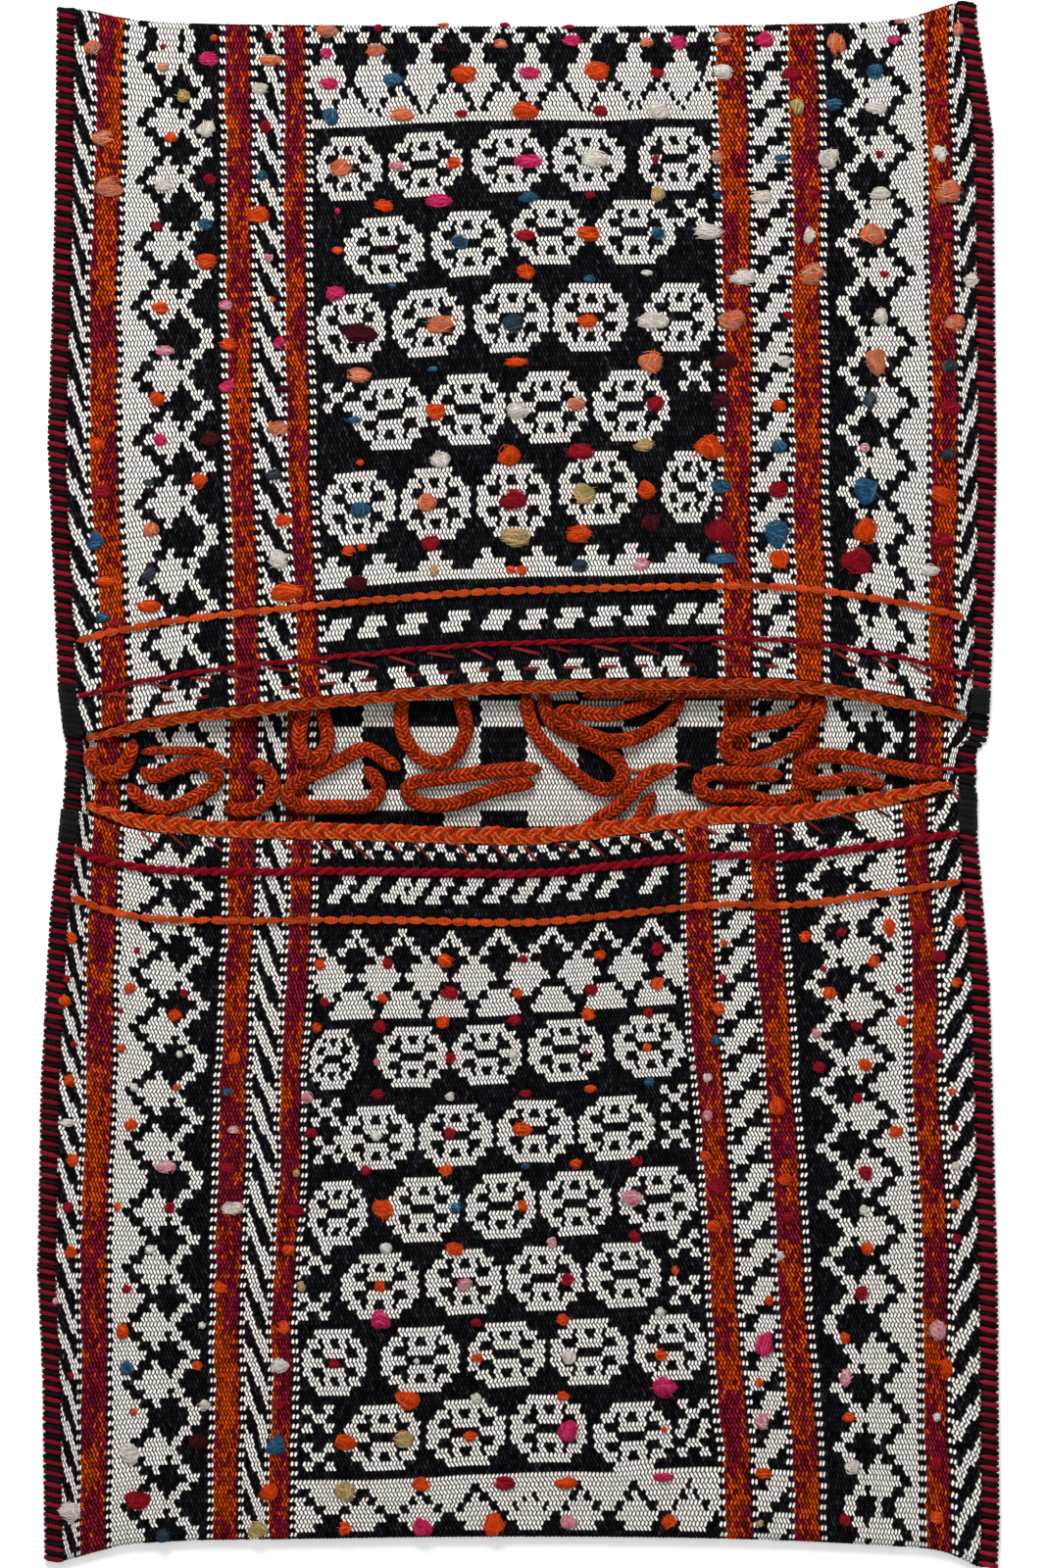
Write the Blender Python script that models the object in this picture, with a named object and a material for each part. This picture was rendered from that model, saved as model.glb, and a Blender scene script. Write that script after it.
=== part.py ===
"""Double saddle bag lying flat: one woven strip folded in at both ends to make two pockets, whose
mouths face each other over a short bridge. Metres, +X across, +Y along, +Z up, floor at Z = 0.

The strip is thick warp-faced wool cloth. Its side edges are overcast with yarn, braids are sewn along
both mouths, rows of stitches run beside them, and braided closure loops lie on the bridge.
"""

import math

import bmesh
import bpy
from mathutils import Vector
from mathutils.geometry import delaunay_2d_cdt

ROOT = "saddle_bag"

# Main sizes
BAG_WIDTH = 0.5030
BAG_LENGTH = 0.8182
CLOTH = 0.0026
CLEARANCE = 0.0003

# How far the front cloth stands off the back, at the side seams and down the middle of a pocket
SIDE_HOLLOW = 0.0012
FOLD_HOLLOW = 0.0025
DEEP_HOLLOW = 0.0072
BELLY_HOLLOW = 0.0080
MOUTH_HOLLOW = 0.0115

# Overcast side edges
BINDING_WIDTH = 0.0092
BINDING_RISE = 0.0006
WRAP_PITCH = 0.0165
WRAP_DEPTH = 0.0007
BRIDGE_RISE = 0.0010
CORNER_RISE = 0.0016
# How far the black corner wraps run from a mouth up and down the seam: {side: (upper, lower)}
CORNER_REACH = {-1: (0.0260, 0.0140), 1: (0.0130, 0.0200)}

# Braids, stitches and cords
UPPER_BRAID_RADIUS = 0.0030
LOWER_BRAID_RADIUS = 0.0041
BRAID_SEAT = 2 * CLEARANCE
BRAID_PITCH = 0.0170
BRAID_DEPTH = 0.0004
CHAIN_RADIUS = 0.0018
TWINED_RADIUS = 0.0014
STITCH_PITCH = 0.0220
STITCH_DEPTH = 0.0003
LOOP_DIAMETER = 0.0068
LOOP_POINT_SPACING = 0.0110
BASE_CORD_RADIUS = 0.0020
TAIL_RADIUS = 0.0018

# Distance of each stitch row from its mouth braid, in the middle, and what it gains towards the sides
UPPER_CHAIN_SETBACK = 0.0505
UPPER_CHAIN_SPREAD = 0.0020
UPPER_TWINED_SETBACK = 0.0232
UPPER_TWINED_SPREAD = 0.0
LOWER_CHAIN_SETBACK = 0.0450
LOWER_CHAIN_SPREAD = 0.0065
LOWER_TWINED_SETBACK = 0.0195
LOWER_TWINED_SPREAD = 0.0065

# Relief of the woven figures over the ground
STRIPE_RELIEF = 0.0004
FIGURE_RELIEF = 0.0005
RELIEF_RAMP = 0.0012
MEDALLION_WIDTH = 0.0350
MEDALLION_HEIGHT = 0.0330
DIAMOND_WIDTH = 0.0150
DIAMOND_PITCH = 0.0205
TUFT_STEEPNESS = 0.9

# Mesh of the fronts: rows of points from mouth to fold, and steps round the fold
ROWS = (0.0, 0.10, 0.22, 0.36, 0.50, 0.66, 0.80, 0.91, 1.0)
FOLD_STEPS = 4
KNOT_SPACING = 0.004  # least distance between a row's end and a knot of the outline
# Plain columns in each gap between two neighbouring red stripes, as places across it
PLAIN_PLACES = ((0.33, 0.67), (), (0.25, 0.5, 0.75), (), (0.33, 0.67))

# Places are read off a straight-down view of the bag: metres for one of its pixels, and its middle
VIEW_SCALE = 0.000513
VIEW_MIDDLE_X = 529.0
VIEW_MIDDLE_Y = 800.5
VIEWED_WIDTH = 0.5030  # the bag's width in that view

# How far each side lies inside the full width, as (y, inset) from top to bottom
LEFT_INSETS = (
    (0.4000, 0.0100),
    (0.2957, 0.0088),
    (0.1752, 0.0052),
    (0.0480, 0.0108),
    (0.0180, 0.0146),
    (-0.0090, 0.0128),
    (-0.0690, 0.0064),
    (-0.1570, 0.0016),
    (-0.2570, 0.0),
    (-0.3140, 0.0026),
    (-0.4000, 0.0036),
)
RIGHT_INSETS = (
    (0.4000, 0.0120),
    (0.3880, 0.0100),
    (0.3410, 0.0034),
    (0.1750, 0.0016),
    (0.1100, 0.0026),
    (0.0250, 0.0056),
    (0.0180, 0.0118),
    (-0.0260, 0.0116),
    (-0.1040, 0.0052),
    (-0.2600, 0.0010),
    (-0.3900, 0.0),
    (-0.4000, 0.0008),
)

# How far each folded end sags inside the full length, as (place across in half widths, sag)
TOP_SAG = (
    (-0.92, 0.0030),
    (-0.77, 0.0097),
    (-0.38, 0.0120),
    (0.10, 0.0126),
    (0.58, 0.0113),
    (0.79, 0.0087),
    (0.91, 0.0),
)
BOTTOM_SAG = (
    (-0.95, 0.0028),
    (-0.80, 0.0118),
    (-0.46, 0.0145),
    (0.05, 0.0158),
    (0.48, 0.0143),
    (0.79, 0.0105),
    (0.88, 0.0080),
    (0.955, 0.0),
)

# Centre lines of the braids along the mouths in the view, left to right
UPPER_MOUTH_VIEW = (
    (78, 757),
    (138, 742),
    (207, 731),
    (344, 716),
    (482, 704),
    (598, 700),
    (720, 698),
    (804, 700),
    (872, 709),
    (941, 722),
    (1000, 737),
)
LOWER_MOUTH_VIEW = (
    (72, 814),
    (110, 830),
    (155, 840),
    (240, 846),
    (380, 849),
    (540, 853),
    (640, 843),
    (735, 832),
    (804, 831),
    (872, 820),
    (941, 807),
    (985, 797),
)

# Red stripes: which line they keep their distance from, width, and view place at mouth, middle, fold
UPPER_STRIPES = (
    ("left", 26, (118, 107, 115)),
    ("middle", 24, (255, 246, 243)),
    ("middle", 21, (318, 304, 301)),
    ("middle", 28, (751, 752, 747)),
    ("middle", 28, (824, 824, 818)),
    ("right", 25, (962, 962, 955)),
)
LOWER_STRIPES = (
    ("left", 26, (109, 99, 96)),
    ("middle", 25, (249, 236, 231)),
    ("middle", 20, (311, 293, 286)),
    ("middle", 26, (708, 731, 755)),
    ("middle", 26, (776, 802, 824)),
    ("right", 24, (932, 949, 958)),
)

# Medallion rows in the view: (y, x of each)
UPPER_MEDALLIONS = (
    (170, (353, 435, 525, 600, 693)),
    (245, (392, 477, 562, 645)),
    (335, (358, 435, 520, 600, 690)),
    (415, (400, 480, 560, 640)),
    (510, (363, 440, 525, 608, 695)),
)
LOWER_MEDALLIONS = (
    (1082, (345, 420, 500, 577, 661)),
    (1155, (387, 466, 547, 626)),
    (1230, (345, 423, 510, 590, 672)),
    (1305, (388, 472, 549, 637)),
    (1385, (342, 430, 515, 600, 684)),
    (1465, (391, 472, 557, 645)),
)
# Columns of diamonds in the view: x at mouth and fold
UPPER_DIAMONDS = ((178, 180), (868, 862))
LOWER_DIAMONDS = ((176, 168), (838, 874))

# The larger wool tufts in the view: (x, y, width)
UPPER_TUFTS = (
    (92, 45, 16), (163, 15, 18), (223, 27, 13), (463, 73, 17), (540, 74, 17), (602, 72, 16),
    (657, 52, 15), (696, 47, 15), (752, 88, 12), (791, 12, 16), (820, 112, 14), (919, 148, 15),
    (344, 170, 18), (393, 210, 15), (452, 208, 18), (538, 163, 20), (602, 158, 18), (537, 112, 24),
    (600, 240, 18), (670, 240, 18), (725, 238, 18), (546, 275, 17), (470, 250, 14), (886, 238, 20),
    (958, 197, 18), (108, 190, 17), (270, 192, 14), (262, 218, 15), (345, 298, 16), (368, 338, 22),
    (450, 325, 20), (522, 325, 18), (600, 327, 18), (668, 330, 18), (745, 325, 20), (790, 200, 18),
    (824, 282, 20), (753, 282, 16), (660, 370, 20), (665, 412, 16), (723, 455, 20), (735, 412, 16),
    (528, 415, 16), (590, 412, 16), (444, 422, 18), (435, 512, 18), (522, 512, 20), (597, 505, 20),
    (368, 520, 20), (524, 548, 24), (736, 498, 20), (733, 540, 18), (790, 543, 24), (788, 572, 20),
    (880, 500, 24), (870, 572, 24), (960, 508, 18), (880, 540, 20), (788, 505, 20), (590, 545, 18),
    (285, 575, 20), (290, 605, 20), (195, 602, 20), (170, 360, 18), (240, 355, 16), (290, 352, 15),
    (97, 550, 16), (120, 635, 16), (160, 620, 14), (845, 160, 16), (758, 118, 18), (896, 330, 20),
    (892, 370, 18), (970, 395, 16), (972, 330, 16), (905, 280, 14),
)
LOWER_TUFTS = (
    (330, 975, 14), (450, 980, 12), (612, 978, 12), (662, 985, 14), (790, 985, 15), (905, 940, 14),
    (478, 1000, 12), (545, 1003, 12), (880, 1083, 16), (378, 1105, 14), (600, 1150, 14),
    (530, 1150, 22), (170, 1188, 14), (235, 1232, 14), (462, 1225, 14), (645, 1222, 14),
    (728, 1232, 14), (880, 1196, 14), (390, 1345, 20), (385, 1305, 14), (572, 1338, 12),
    (608, 1305, 14), (725, 1305, 12), (780, 1370, 20), (792, 1342, 14), (675, 1412, 22),
    (668, 1385, 14), (577, 1456, 16), (410, 1465, 16), (352, 1468, 16), (283, 1475, 18),
    (200, 1473, 14), (240, 1508, 12), (140, 1525, 18), (75, 1548, 16), (275, 1522, 16),
    (265, 1560, 18), (430, 1555, 16), (505, 1555, 18), (585, 1550, 14), (778, 1446, 14),
    (905, 1510, 16), (947, 1535, 16), (730, 1560, 16), (830, 1532, 14), (135, 1500, 16),
    (958, 1360, 12), (845, 1430, 14), (700, 1530, 12), (345, 1530, 14), (515, 1515, 16),
)

# Routes of the closure loops in the view, with how high each point is lifted off the cloth
LOOP_ROUTES = {
    "closure_loop_a": (
        (137, 754, 0), (134, 767, 0), (126, 783, 0), (111, 790, 0), (98, 783, 0), (92, 770, 0),
        (101, 765, 0),
    ),
    "closure_loop_b": (
        (131, 799, 0), (139, 811, 0), (152, 820, 0), (168, 825, 0), (185, 821, 0), (204, 811, 0),
        (218, 802, 0), (223, 793, 0), (218, 784, 0), (207, 779, 0), (191, 780, 0), (174, 786, 0),
        (162, 792, 0), (151, 790, 0), (144, 783, 0),
    ),
    "closure_loop_c": (
        (254, 787, 0), (263, 781, 0), (274, 788, 0), (279, 799, 0), (277, 811, 0), (268, 821, 0),
        (258, 826, 0), (242, 827, 0), (228, 825, 0),
    ),
    "closure_loop_d": (
        (314, 716, 0), (309, 733, 0), (305, 750, 0.002), (308, 766, 0.004), (320, 775, 0.0045),
        (331, 767, 0.004), (335, 751, 0.002), (331, 734, 0), (327, 716, 0),
    ),
    "closure_loop_e": (
        (409, 785, 0), (398, 779, 0), (386, 770, 0), (373, 764, 0), (361, 768, 0), (346, 777, 0),
        (330, 785, 0), (311, 794, 0), (297, 803, 0), (293, 814, 0), (303, 822, 0), (321, 824, 0),
        (346, 823, 0), (366, 824, 0), (380, 819, 0), (387, 806, 0), (382, 793, 0), (371, 783, 0),
    ),
    "closure_loop_f": (
        (412, 706, 0), (409, 728, 0), (410, 743, 0), (416, 759, 0), (429, 773, 0), (446, 779, 0),
        (462, 772, 0), (472, 758, 0), (476, 741, 0), (472, 725, 0), (467, 704, 0),
    ),
    "closure_loop_g": (
        (553, 785, 0), (533, 785, 0), (512, 786, 0), (487, 789, 0), (462, 793, 0), (438, 796, 0),
        (420, 800, 0), (415, 808, 0), (422, 817, 0), (438, 822, 0), (459, 821, 0), (479, 815, 0),
        (504, 806, 0), (525, 801, 0), (546, 799, 0),
    ),
    "closure_loop_h": (
        (537, 704, 0), (539, 730, 0), (549, 752, 0), (566, 771, 0), (583, 787, 0), (600, 800, 0),
        (616, 806, 0), (629, 803, 0), (635, 793, 0), (633, 781, 0), (624, 772, 0), (612, 763, 0),
        (593, 754, 0), (575, 746, 0), (561, 734, 0), (556, 720, 0), (556, 704, 0),
    ),
    "closure_loop_i": (
        (681, 704, 0), (666, 716, 0), (649, 723, 0.002), (632, 728, 0.005), (614, 730, 0.007),
        (596, 728, 0.0075), (580, 726, 0.0075), (570, 729, 0.0075), (573, 736, 0.0075),
        (586, 743, 0.0075), (603, 751, 0.0065), (621, 756, 0.0045), (640, 755, 0.002),
        (658, 748, 0), (674, 738, 0), (687, 726, 0), (697, 710, 0),
    ),
    "closure_loop_j": (
        (689, 783, 0), (673, 787, 0), (659, 794, 0), (648, 804, 0), (638, 816, 0), (623, 828, 0),
        (607, 838, 0), (600, 849, 0), (608, 860, 0), (626, 862, 0), (642, 853, 0), (651, 839, 0),
        (658, 824, 0), (667, 808, 0),
    ),
    "closure_loop_k": (
        (824, 708, 0), (817, 726, 0), (800, 735, 0), (780, 738, 0), (760, 741, 0), (746, 747, 0),
        (739, 757, 0), (742, 769, 0), (756, 775, 0), (776, 773, 0), (796, 765, 0), (812, 755, 0),
        (823, 743, 0), (832, 731, 0), (840, 712, 0),
    ),
    "closure_loop_l": (
        (799, 790, 0), (788, 791, 0), (766, 790, 0), (744, 789, 0), (724, 789, 0), (714, 796, 0),
        (714, 807, 0), (726, 813, 0), (743, 813, 0), (760, 813, 0), (772, 815, 0), (786, 818, 0),
        (804, 816, 0), (816, 809, 0),
    ),
    "closure_loop_m": (
        (961, 789, 0), (941, 788, 0), (921, 785, 0), (901, 781, 0), (881, 776, 0), (861, 773, 0),
        (841, 771, 0), (825, 774, 0), (815, 782, 0), (817, 792, 0), (828, 799, 0), (845, 799, 0),
        (861, 795, 0), (877, 795, 0), (892, 799, 0), (903, 801, 0),
    ),
}
LEFT_TAIL_ROUTE = ((143, 768), (160, 766), (190, 766), (210, 767), (226, 775), (241, 786))
BASE_CORD_SPAN_VIEW = (545, 850)

# Colours
BLACK_WOOL = (0.011, 0.011, 0.014)
WHITE_WOOL = (0.86, 0.84, 0.78)
RUST_WOOL = (0.46, 0.075, 0.020)
CRIMSON_WOOL = (0.17, 0.012, 0.025)
ORANGE_WOOL = (0.62, 0.105, 0.018)
TUFT_WOOL = (0.72, 0.20, 0.07)


def across(view_x):
    return (view_x - VIEW_MIDDLE_X) * VIEW_SCALE


def along(view_y):
    return (VIEW_MIDDLE_Y - view_y) * VIEW_SCALE


def curve_value(knots, place):
    """Smooth curve through (place, value) knots, going on straight past both ends."""
    if place <= knots[0][0] or place >= knots[-1][0]:
        (p0, v0), (p1, v1) = knots[:2] if place <= knots[0][0] else knots[-2:]
        start, value = (p0, v0) if place <= knots[0][0] else (p1, v1)
        return value + (place - start) * (v1 - v0) / (p1 - p0)
    last = len(knots) - 1
    i = max(k for k in range(last) if knots[k][0] <= place)

    def slope(k):
        low, high = max(k - 1, 0), min(k + 1, last)
        return (knots[high][1] - knots[low][1]) / (knots[high][0] - knots[low][0])

    (p0, v0), (p1, v1) = knots[i], knots[i + 1]
    span = p1 - p0
    t = (place - p0) / span
    return (
        v0 * (1 + 2 * t) * (1 - t) ** 2
        + v1 * t * t * (3 - 2 * t)
        + span * (slope(i) * t * (1 - t) ** 2 + slope(i + 1) * t * t * (t - 1))
    )


def straight_value(knots, place):
    """Straight lines through (place, value) knots, held level past both ends."""
    if place <= knots[0][0]:
        return knots[0][1]
    for (p0, v0), (p1, v1) in zip(knots, knots[1:]):
        if place <= p1:
            return v0 + (v1 - v0) * (place - p0) / (p1 - p0)
    return knots[-1][1]


def outer_edge(side, y):
    """X of the bag's outline at y; side is -1 for left and 1 for right."""
    insets = LEFT_INSETS if side < 0 else RIGHT_INSETS
    return side * (BAG_WIDTH / 2 - straight_value(tuple(reversed(insets)), y))


def cloth_edge(side, y):
    return outer_edge(side, y) - side * (BINDING_WIDTH + CLEARANCE)


def edge_knots(side, low, high):
    """Y of each knot of that side strictly between low and high, upwards."""
    insets = LEFT_INSETS if side < 0 else RIGHT_INSETS
    margin = 4 * CLEARANCE
    return sorted(y for y, _ in insets if low + margin < y < high - margin)


def smooth_path(points, spacing):
    """Evenly spaced points on a smooth curve through the given ones."""
    points = [Vector(point) for point in points]
    padded = [2 * points[0] - points[1], *points, 2 * points[-1] - points[-2]]
    fine = []
    steps = 12
    for p0, p1, p2, p3 in zip(padded, padded[1:], padded[2:], padded[3:]):
        for step in range(steps):
            t = step / steps
            fine.append(
                0.5
                * (
                    2 * p1
                    + (p2 - p0) * t
                    + (2 * p0 - 5 * p1 + 4 * p2 - p3) * t**2
                    + (3 * p1 - p0 - 3 * p2 + p3) * t**3
                )
            )
    fine.append(points[-1])
    lengths = [0.0]
    for a, b in zip(fine, fine[1:]):
        lengths.append(lengths[-1] + (b - a).length)
    count = max(3, round(lengths[-1] / spacing) + 1)
    path, k = [], 0
    for i in range(count):
        wanted = lengths[-1] * i / (count - 1)
        while k < len(fine) - 2 and lengths[k + 1] < wanted:
            k += 1
        part = (wanted - lengths[k]) / (lengths[k + 1] - lengths[k])
        path.append(fine[k].lerp(fine[k + 1], part))
    return path


class Pocket:
    """One pocket's front: its mouth, its folded end and the cloth between them."""

    def __init__(self, braid_view, braid_radius, sag, stripes, medallions, diamonds, tufts, end):
        self.end = end  # 1 where the pocket runs towards +Y, -1 towards -Y
        self.braid_knots = tuple((across(x), along(y)) for x, y in braid_view)
        self.braid_radius = braid_radius
        self.sag = sag
        self.stripes = stripes
        self.corners = {side: self.meeting(side, self.mouth) for side in (-1, 1)}
        self.fold_corners = {side: self.meeting(side, self.fold) for side in (-1, 1)}
        self.figures = self.list_figures(medallions, diamonds, tufts)

    def braid(self, x):
        """Y of the middle of the braid that runs in front of the mouth's edge."""
        return curve_value(self.braid_knots, x)

    def mouth(self, x):
        return self.braid(x) + self.end * (self.braid_radius + BRAID_SEAT)

    def meeting(self, side, line):
        """Y where a line across the cloth meets the cloth's side edge."""
        y = line(side * BAG_WIDTH / 2)
        for _ in range(40):
            y = line(cloth_edge(side, y))
        return y

    def end_line(self, x):
        """Y of the outline at the folded end."""
        place = max(self.sag[0][0], min(self.sag[-1][0], x / (BAG_WIDTH / 2)))
        return self.end * (BAG_LENGTH / 2 - curve_value(self.sag, place))

    def fold_hollow(self, x):
        return self.bulge(x, self.end_line(x), FOLD_HOLLOW)

    def fold(self, x):
        """Y where the front turns into the fold."""
        return self.end_line(x) - self.end * (CLOTH + self.fold_hollow(x) / 2)

    def bulge(self, x, y, middle):
        place = min(1.0, abs(x) / abs(cloth_edge(math.copysign(1, x), y)))
        return SIDE_HOLLOW + (middle - SIDE_HOLLOW) * (1 - place**4)

    def depth(self, x, y):
        """0 at the mouth, 1 at the fold."""
        mouth = self.mouth(x)
        return (y - mouth) / (self.fold(x) - mouth)

    def hollow(self, x, y):
        profile = (
            (0.0, MOUTH_HOLLOW),
            (0.22, BELLY_HOLLOW),
            (0.60, DEEP_HOLLOW),
            (0.88, (DEEP_HOLLOW + FOLD_HOLLOW) / 2),
            (1.0, FOLD_HOLLOW),
        )
        depth = max(0.0, min(1.0, self.depth(x, y)))
        return self.bulge(x, y, curve_value(profile, depth))

    def inner_z(self, x, y):
        return CLOTH + self.hollow(x, y)

    def outer_z(self, x, y):
        return 2 * CLOTH + self.hollow(x, y)

    def point(self, x, depth):
        mouth = self.mouth(x)
        return x, mouth + depth * (self.fold(x) - mouth)

    def stripe_middle(self, stripe, depth):
        anchor, _, view = stripe
        x = across(curve_value(((0.0, view[0]), (0.5, view[1]), (1.0, view[2])), depth))
        moved = {"left": -1, "middle": 0, "right": 1}[anchor] * (BAG_WIDTH - VIEWED_WIDTH) / 2
        return x + moved

    def inside(self, x, y, margin):
        low, high = sorted((self.mouth(x), self.fold(x)))
        return (
            cloth_edge(-1, y) + margin < x < cloth_edge(1, y) - margin
            and low + margin < y < high - margin
        )

    def list_figures(self, medallions, diamonds, tufts):
        """(kind, centre x, centre y, outline offsets, height, ramp) of each raised figure."""
        found = []
        for view_y, row in medallions:
            for view_x in row:
                outline = octagon(MEDALLION_WIDTH, MEDALLION_HEIGHT)
                ramp = 2 * RELIEF_RAMP / MEDALLION_WIDTH
                found.append(("figure", across(view_x), along(view_y), outline, FIGURE_RELIEF, ramp))
        for at_mouth, at_fold in diamonds:
            start, stop = self.mouth(across(at_mouth)), self.fold(across(at_fold))
            count = int(abs(stop - start) / DIAMOND_PITCH)
            for i in range(3, count):
                depth = (i + 0.5) / count
                x, y = self.point(across(at_mouth + (at_fold - at_mouth) * depth), depth)
                outline = polygon(4, DIAMOND_WIDTH, DIAMOND_PITCH * 0.84)
                found.append(("figure", x, y, outline, FIGURE_RELIEF, 1.0))
        for view_x, view_y, size in tufts:
            width = size * VIEW_SCALE
            height = TUFT_STEEPNESS * width / 2
            found.append(("tuft", across(view_x), along(view_y), polygon(5, width, width), height, 1.0))
        reach = [max(max(abs(dx), abs(dy)) for dx, dy in figure[3]) for figure in found]
        return [f for f, far in zip(found, reach) if self.inside(f[1], f[2], far + CLEARANCE)]

    def relief(self, x, y):
        """(height over the plain cloth, what stands there)"""
        best = (0.0, "ground")
        depth = max(0.0, min(1.0, self.depth(x, y)))
        for stripe in self.stripes:
            half = stripe[1] * VIEW_SCALE / 2
            inside = half - abs(x - self.stripe_middle(stripe, depth))
            if inside > 0:
                best = max(best, (STRIPE_RELIEF * min(1.0, inside / RELIEF_RAMP), "stripe"))
        for kind, cx, cy, outline, height, ramp in self.figures:
            level = 1 - scale_of(x - cx, y - cy, outline)
            if level > 0:
                best = max(best, (height * min(1.0, level / ramp), kind))
        return best

    def top_z(self, x, y):
        return self.outer_z(x, y) + self.relief(x, y)[0]


def polygon(corners, width, height):
    turn = math.pi / 2
    angles = [turn + 2 * math.pi * i / corners for i in range(corners)]
    return [(width / 2 * math.cos(a), height / 2 * math.sin(a)) for a in angles]


def octagon(width, height):
    cut = 1 - math.tan(math.pi / 8)
    quarter = [(1, 1 - cut), (1 - cut, 1)]
    signs = ((1, 1), (-1, 1), (-1, -1), (1, -1))
    corners = []
    for k, (sx, sy) in enumerate(signs):
        pair = quarter if k % 2 == 0 else quarter[::-1]
        corners += [(sx * x * width / 2, sy * y * height / 2) for x, y in pair]
    return corners


def scale_of(x, y, outline):
    """0 at the middle of a convex outline, 1 on it, more outside."""
    largest = 0.0
    for (x0, y0), (x1, y1) in zip(outline, outline[1:] + outline[:1]):
        normal_x, normal_y = y1 - y0, x0 - x1
        largest = max(largest, (x * normal_x + y * normal_y) / (x0 * normal_x + y0 * normal_y))
    return largest


def tiled(outline, lines, points):
    """Triangles over the outline in the XY plane, with edges along the lines."""
    places, edges = [], []

    def add(chain, closed):
        first = len(places)
        places.extend(Vector(place) for place in chain)
        edges.extend((first + i, first + i + 1) for i in range(len(chain) - 1))
        if closed:
            edges.append((len(places) - 1, first))

    add(outline, True)
    for chain, closed in lines:
        add(chain, closed)
    places.extend(Vector(place) for place in points)
    verts, _, faces, *_ = delaunay_2d_cdt(places, edges, [], 1, 1e-7)
    return [(v.x, v.y) for v in verts], faces


class Skin:
    """Faces gathered into one mesh, whose points are joined where they meet."""

    def __init__(self):
        self.verts = []
        self.faces = []
        self.kinds = []

    def add(self, points, faces, kinds):
        first = len(self.verts)
        self.verts.extend(points)
        self.faces.extend([first + i for i in face] for face in faces)
        self.kinds.extend(kinds)

    def strip(self, pairs, flip=False):
        """Quads along a row of point pairs."""
        for (a, b), (c, d) in zip(pairs, pairs[1:]):
            face = (0, 1, 3, 2) if flip else (0, 2, 3, 1)
            self.add([a, b, c, d], [face], ["ground"])

    def build(self, name, materials):
        mesh = bpy.data.meshes.new(name)
        mesh.from_pydata(self.verts, [], self.faces)
        order = list(materials)
        for face, kind in zip(mesh.polygons, self.kinds):
            face.material_index = order.index(kind)
        for colour in materials.values():
            mesh.materials.append(colour)
        shape = bmesh.new()
        shape.from_mesh(mesh)
        bmesh.ops.remove_doubles(shape, verts=shape.verts, dist=1e-6)
        bmesh.ops.recalc_face_normals(shape, faces=shape.faces)
        shape.to_mesh(mesh)
        shape.free()
        return add_object(name, mesh)


def add_object(name, data):
    made = bpy.data.objects.new(name, data)
    bpy.context.scene.collection.objects.link(made)
    made.parent = bpy.data.objects[ROOT]
    return made


def wool(name, colour, roughness=0.9):
    material = bpy.data.materials.new(name)
    material.use_nodes = True
    shader = material.node_tree.nodes["Principled BSDF"]
    shader.inputs["Base Color"].default_value = (*colour, 1)
    shader.inputs["Roughness"].default_value = roughness
    material.diffuse_color = (*colour, 1)
    return material


def front_columns(pocket):
    """Lines of points from mouth to fold: both edges of each stripe and its ramp, and plain ones."""
    columns = []
    for stripe in pocket.stripes:
        half = stripe[1] * VIEW_SCALE / 2
        for offset in (-half, RELIEF_RAMP - half, half - RELIEF_RAMP, half):
            columns.append([pocket.point(pocket.stripe_middle(stripe, row) + offset, row) for row in ROWS])
    for left, right, places in zip(pocket.stripes, pocket.stripes[1:], PLAIN_PLACES):
        for place in places:
            column = []
            for row in ROWS:
                low, high = pocket.stripe_middle(left, row), pocket.stripe_middle(right, row)
                column.append(pocket.point(low + place * (high - low), row))
            columns.append(column)
    return sorted(columns)


def side_column(pocket, side):
    """Points of a front's side edge from mouth to fold, with one at each knot of the outline."""
    start, stop = pocket.corners[side], pocket.fold_corners[side]
    knots = edge_knots(side, *sorted((start, stop)))
    rows = [start + row * (stop - start) for row in ROWS]
    apart = [y for y in rows[1:-1] if all(abs(y - knot) > KNOT_SPACING for knot in knots)]
    ordered = sorted([start, stop, *apart, *knots], reverse=start > stop)
    return [(cloth_edge(side, y), y) for y in ordered]


def fold_arc(pocket, x):
    """(outer, inner) points round the fold, from the front to the back."""
    middle_y = pocket.fold(x)
    hollow = pocket.hollow(x, middle_y)
    middle_z = CLOTH + hollow / 2
    raised = pocket.relief(x, middle_y)[0]
    pairs = []
    for step in range(FOLD_STEPS + 1):
        angle = math.pi / 2 - math.pi * step / FOLD_STEPS
        up, out = math.sin(angle), pocket.end * math.cos(angle)
        outer = CLOTH + hollow / 2 + raised * max(0.0, up)
        inner = hollow / 2
        pairs.append(
            (
                (x, middle_y + outer * out, middle_z + outer * up),
                (x, middle_y + inner * out, middle_z + inner * up),
            )
        )
    return pairs


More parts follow.
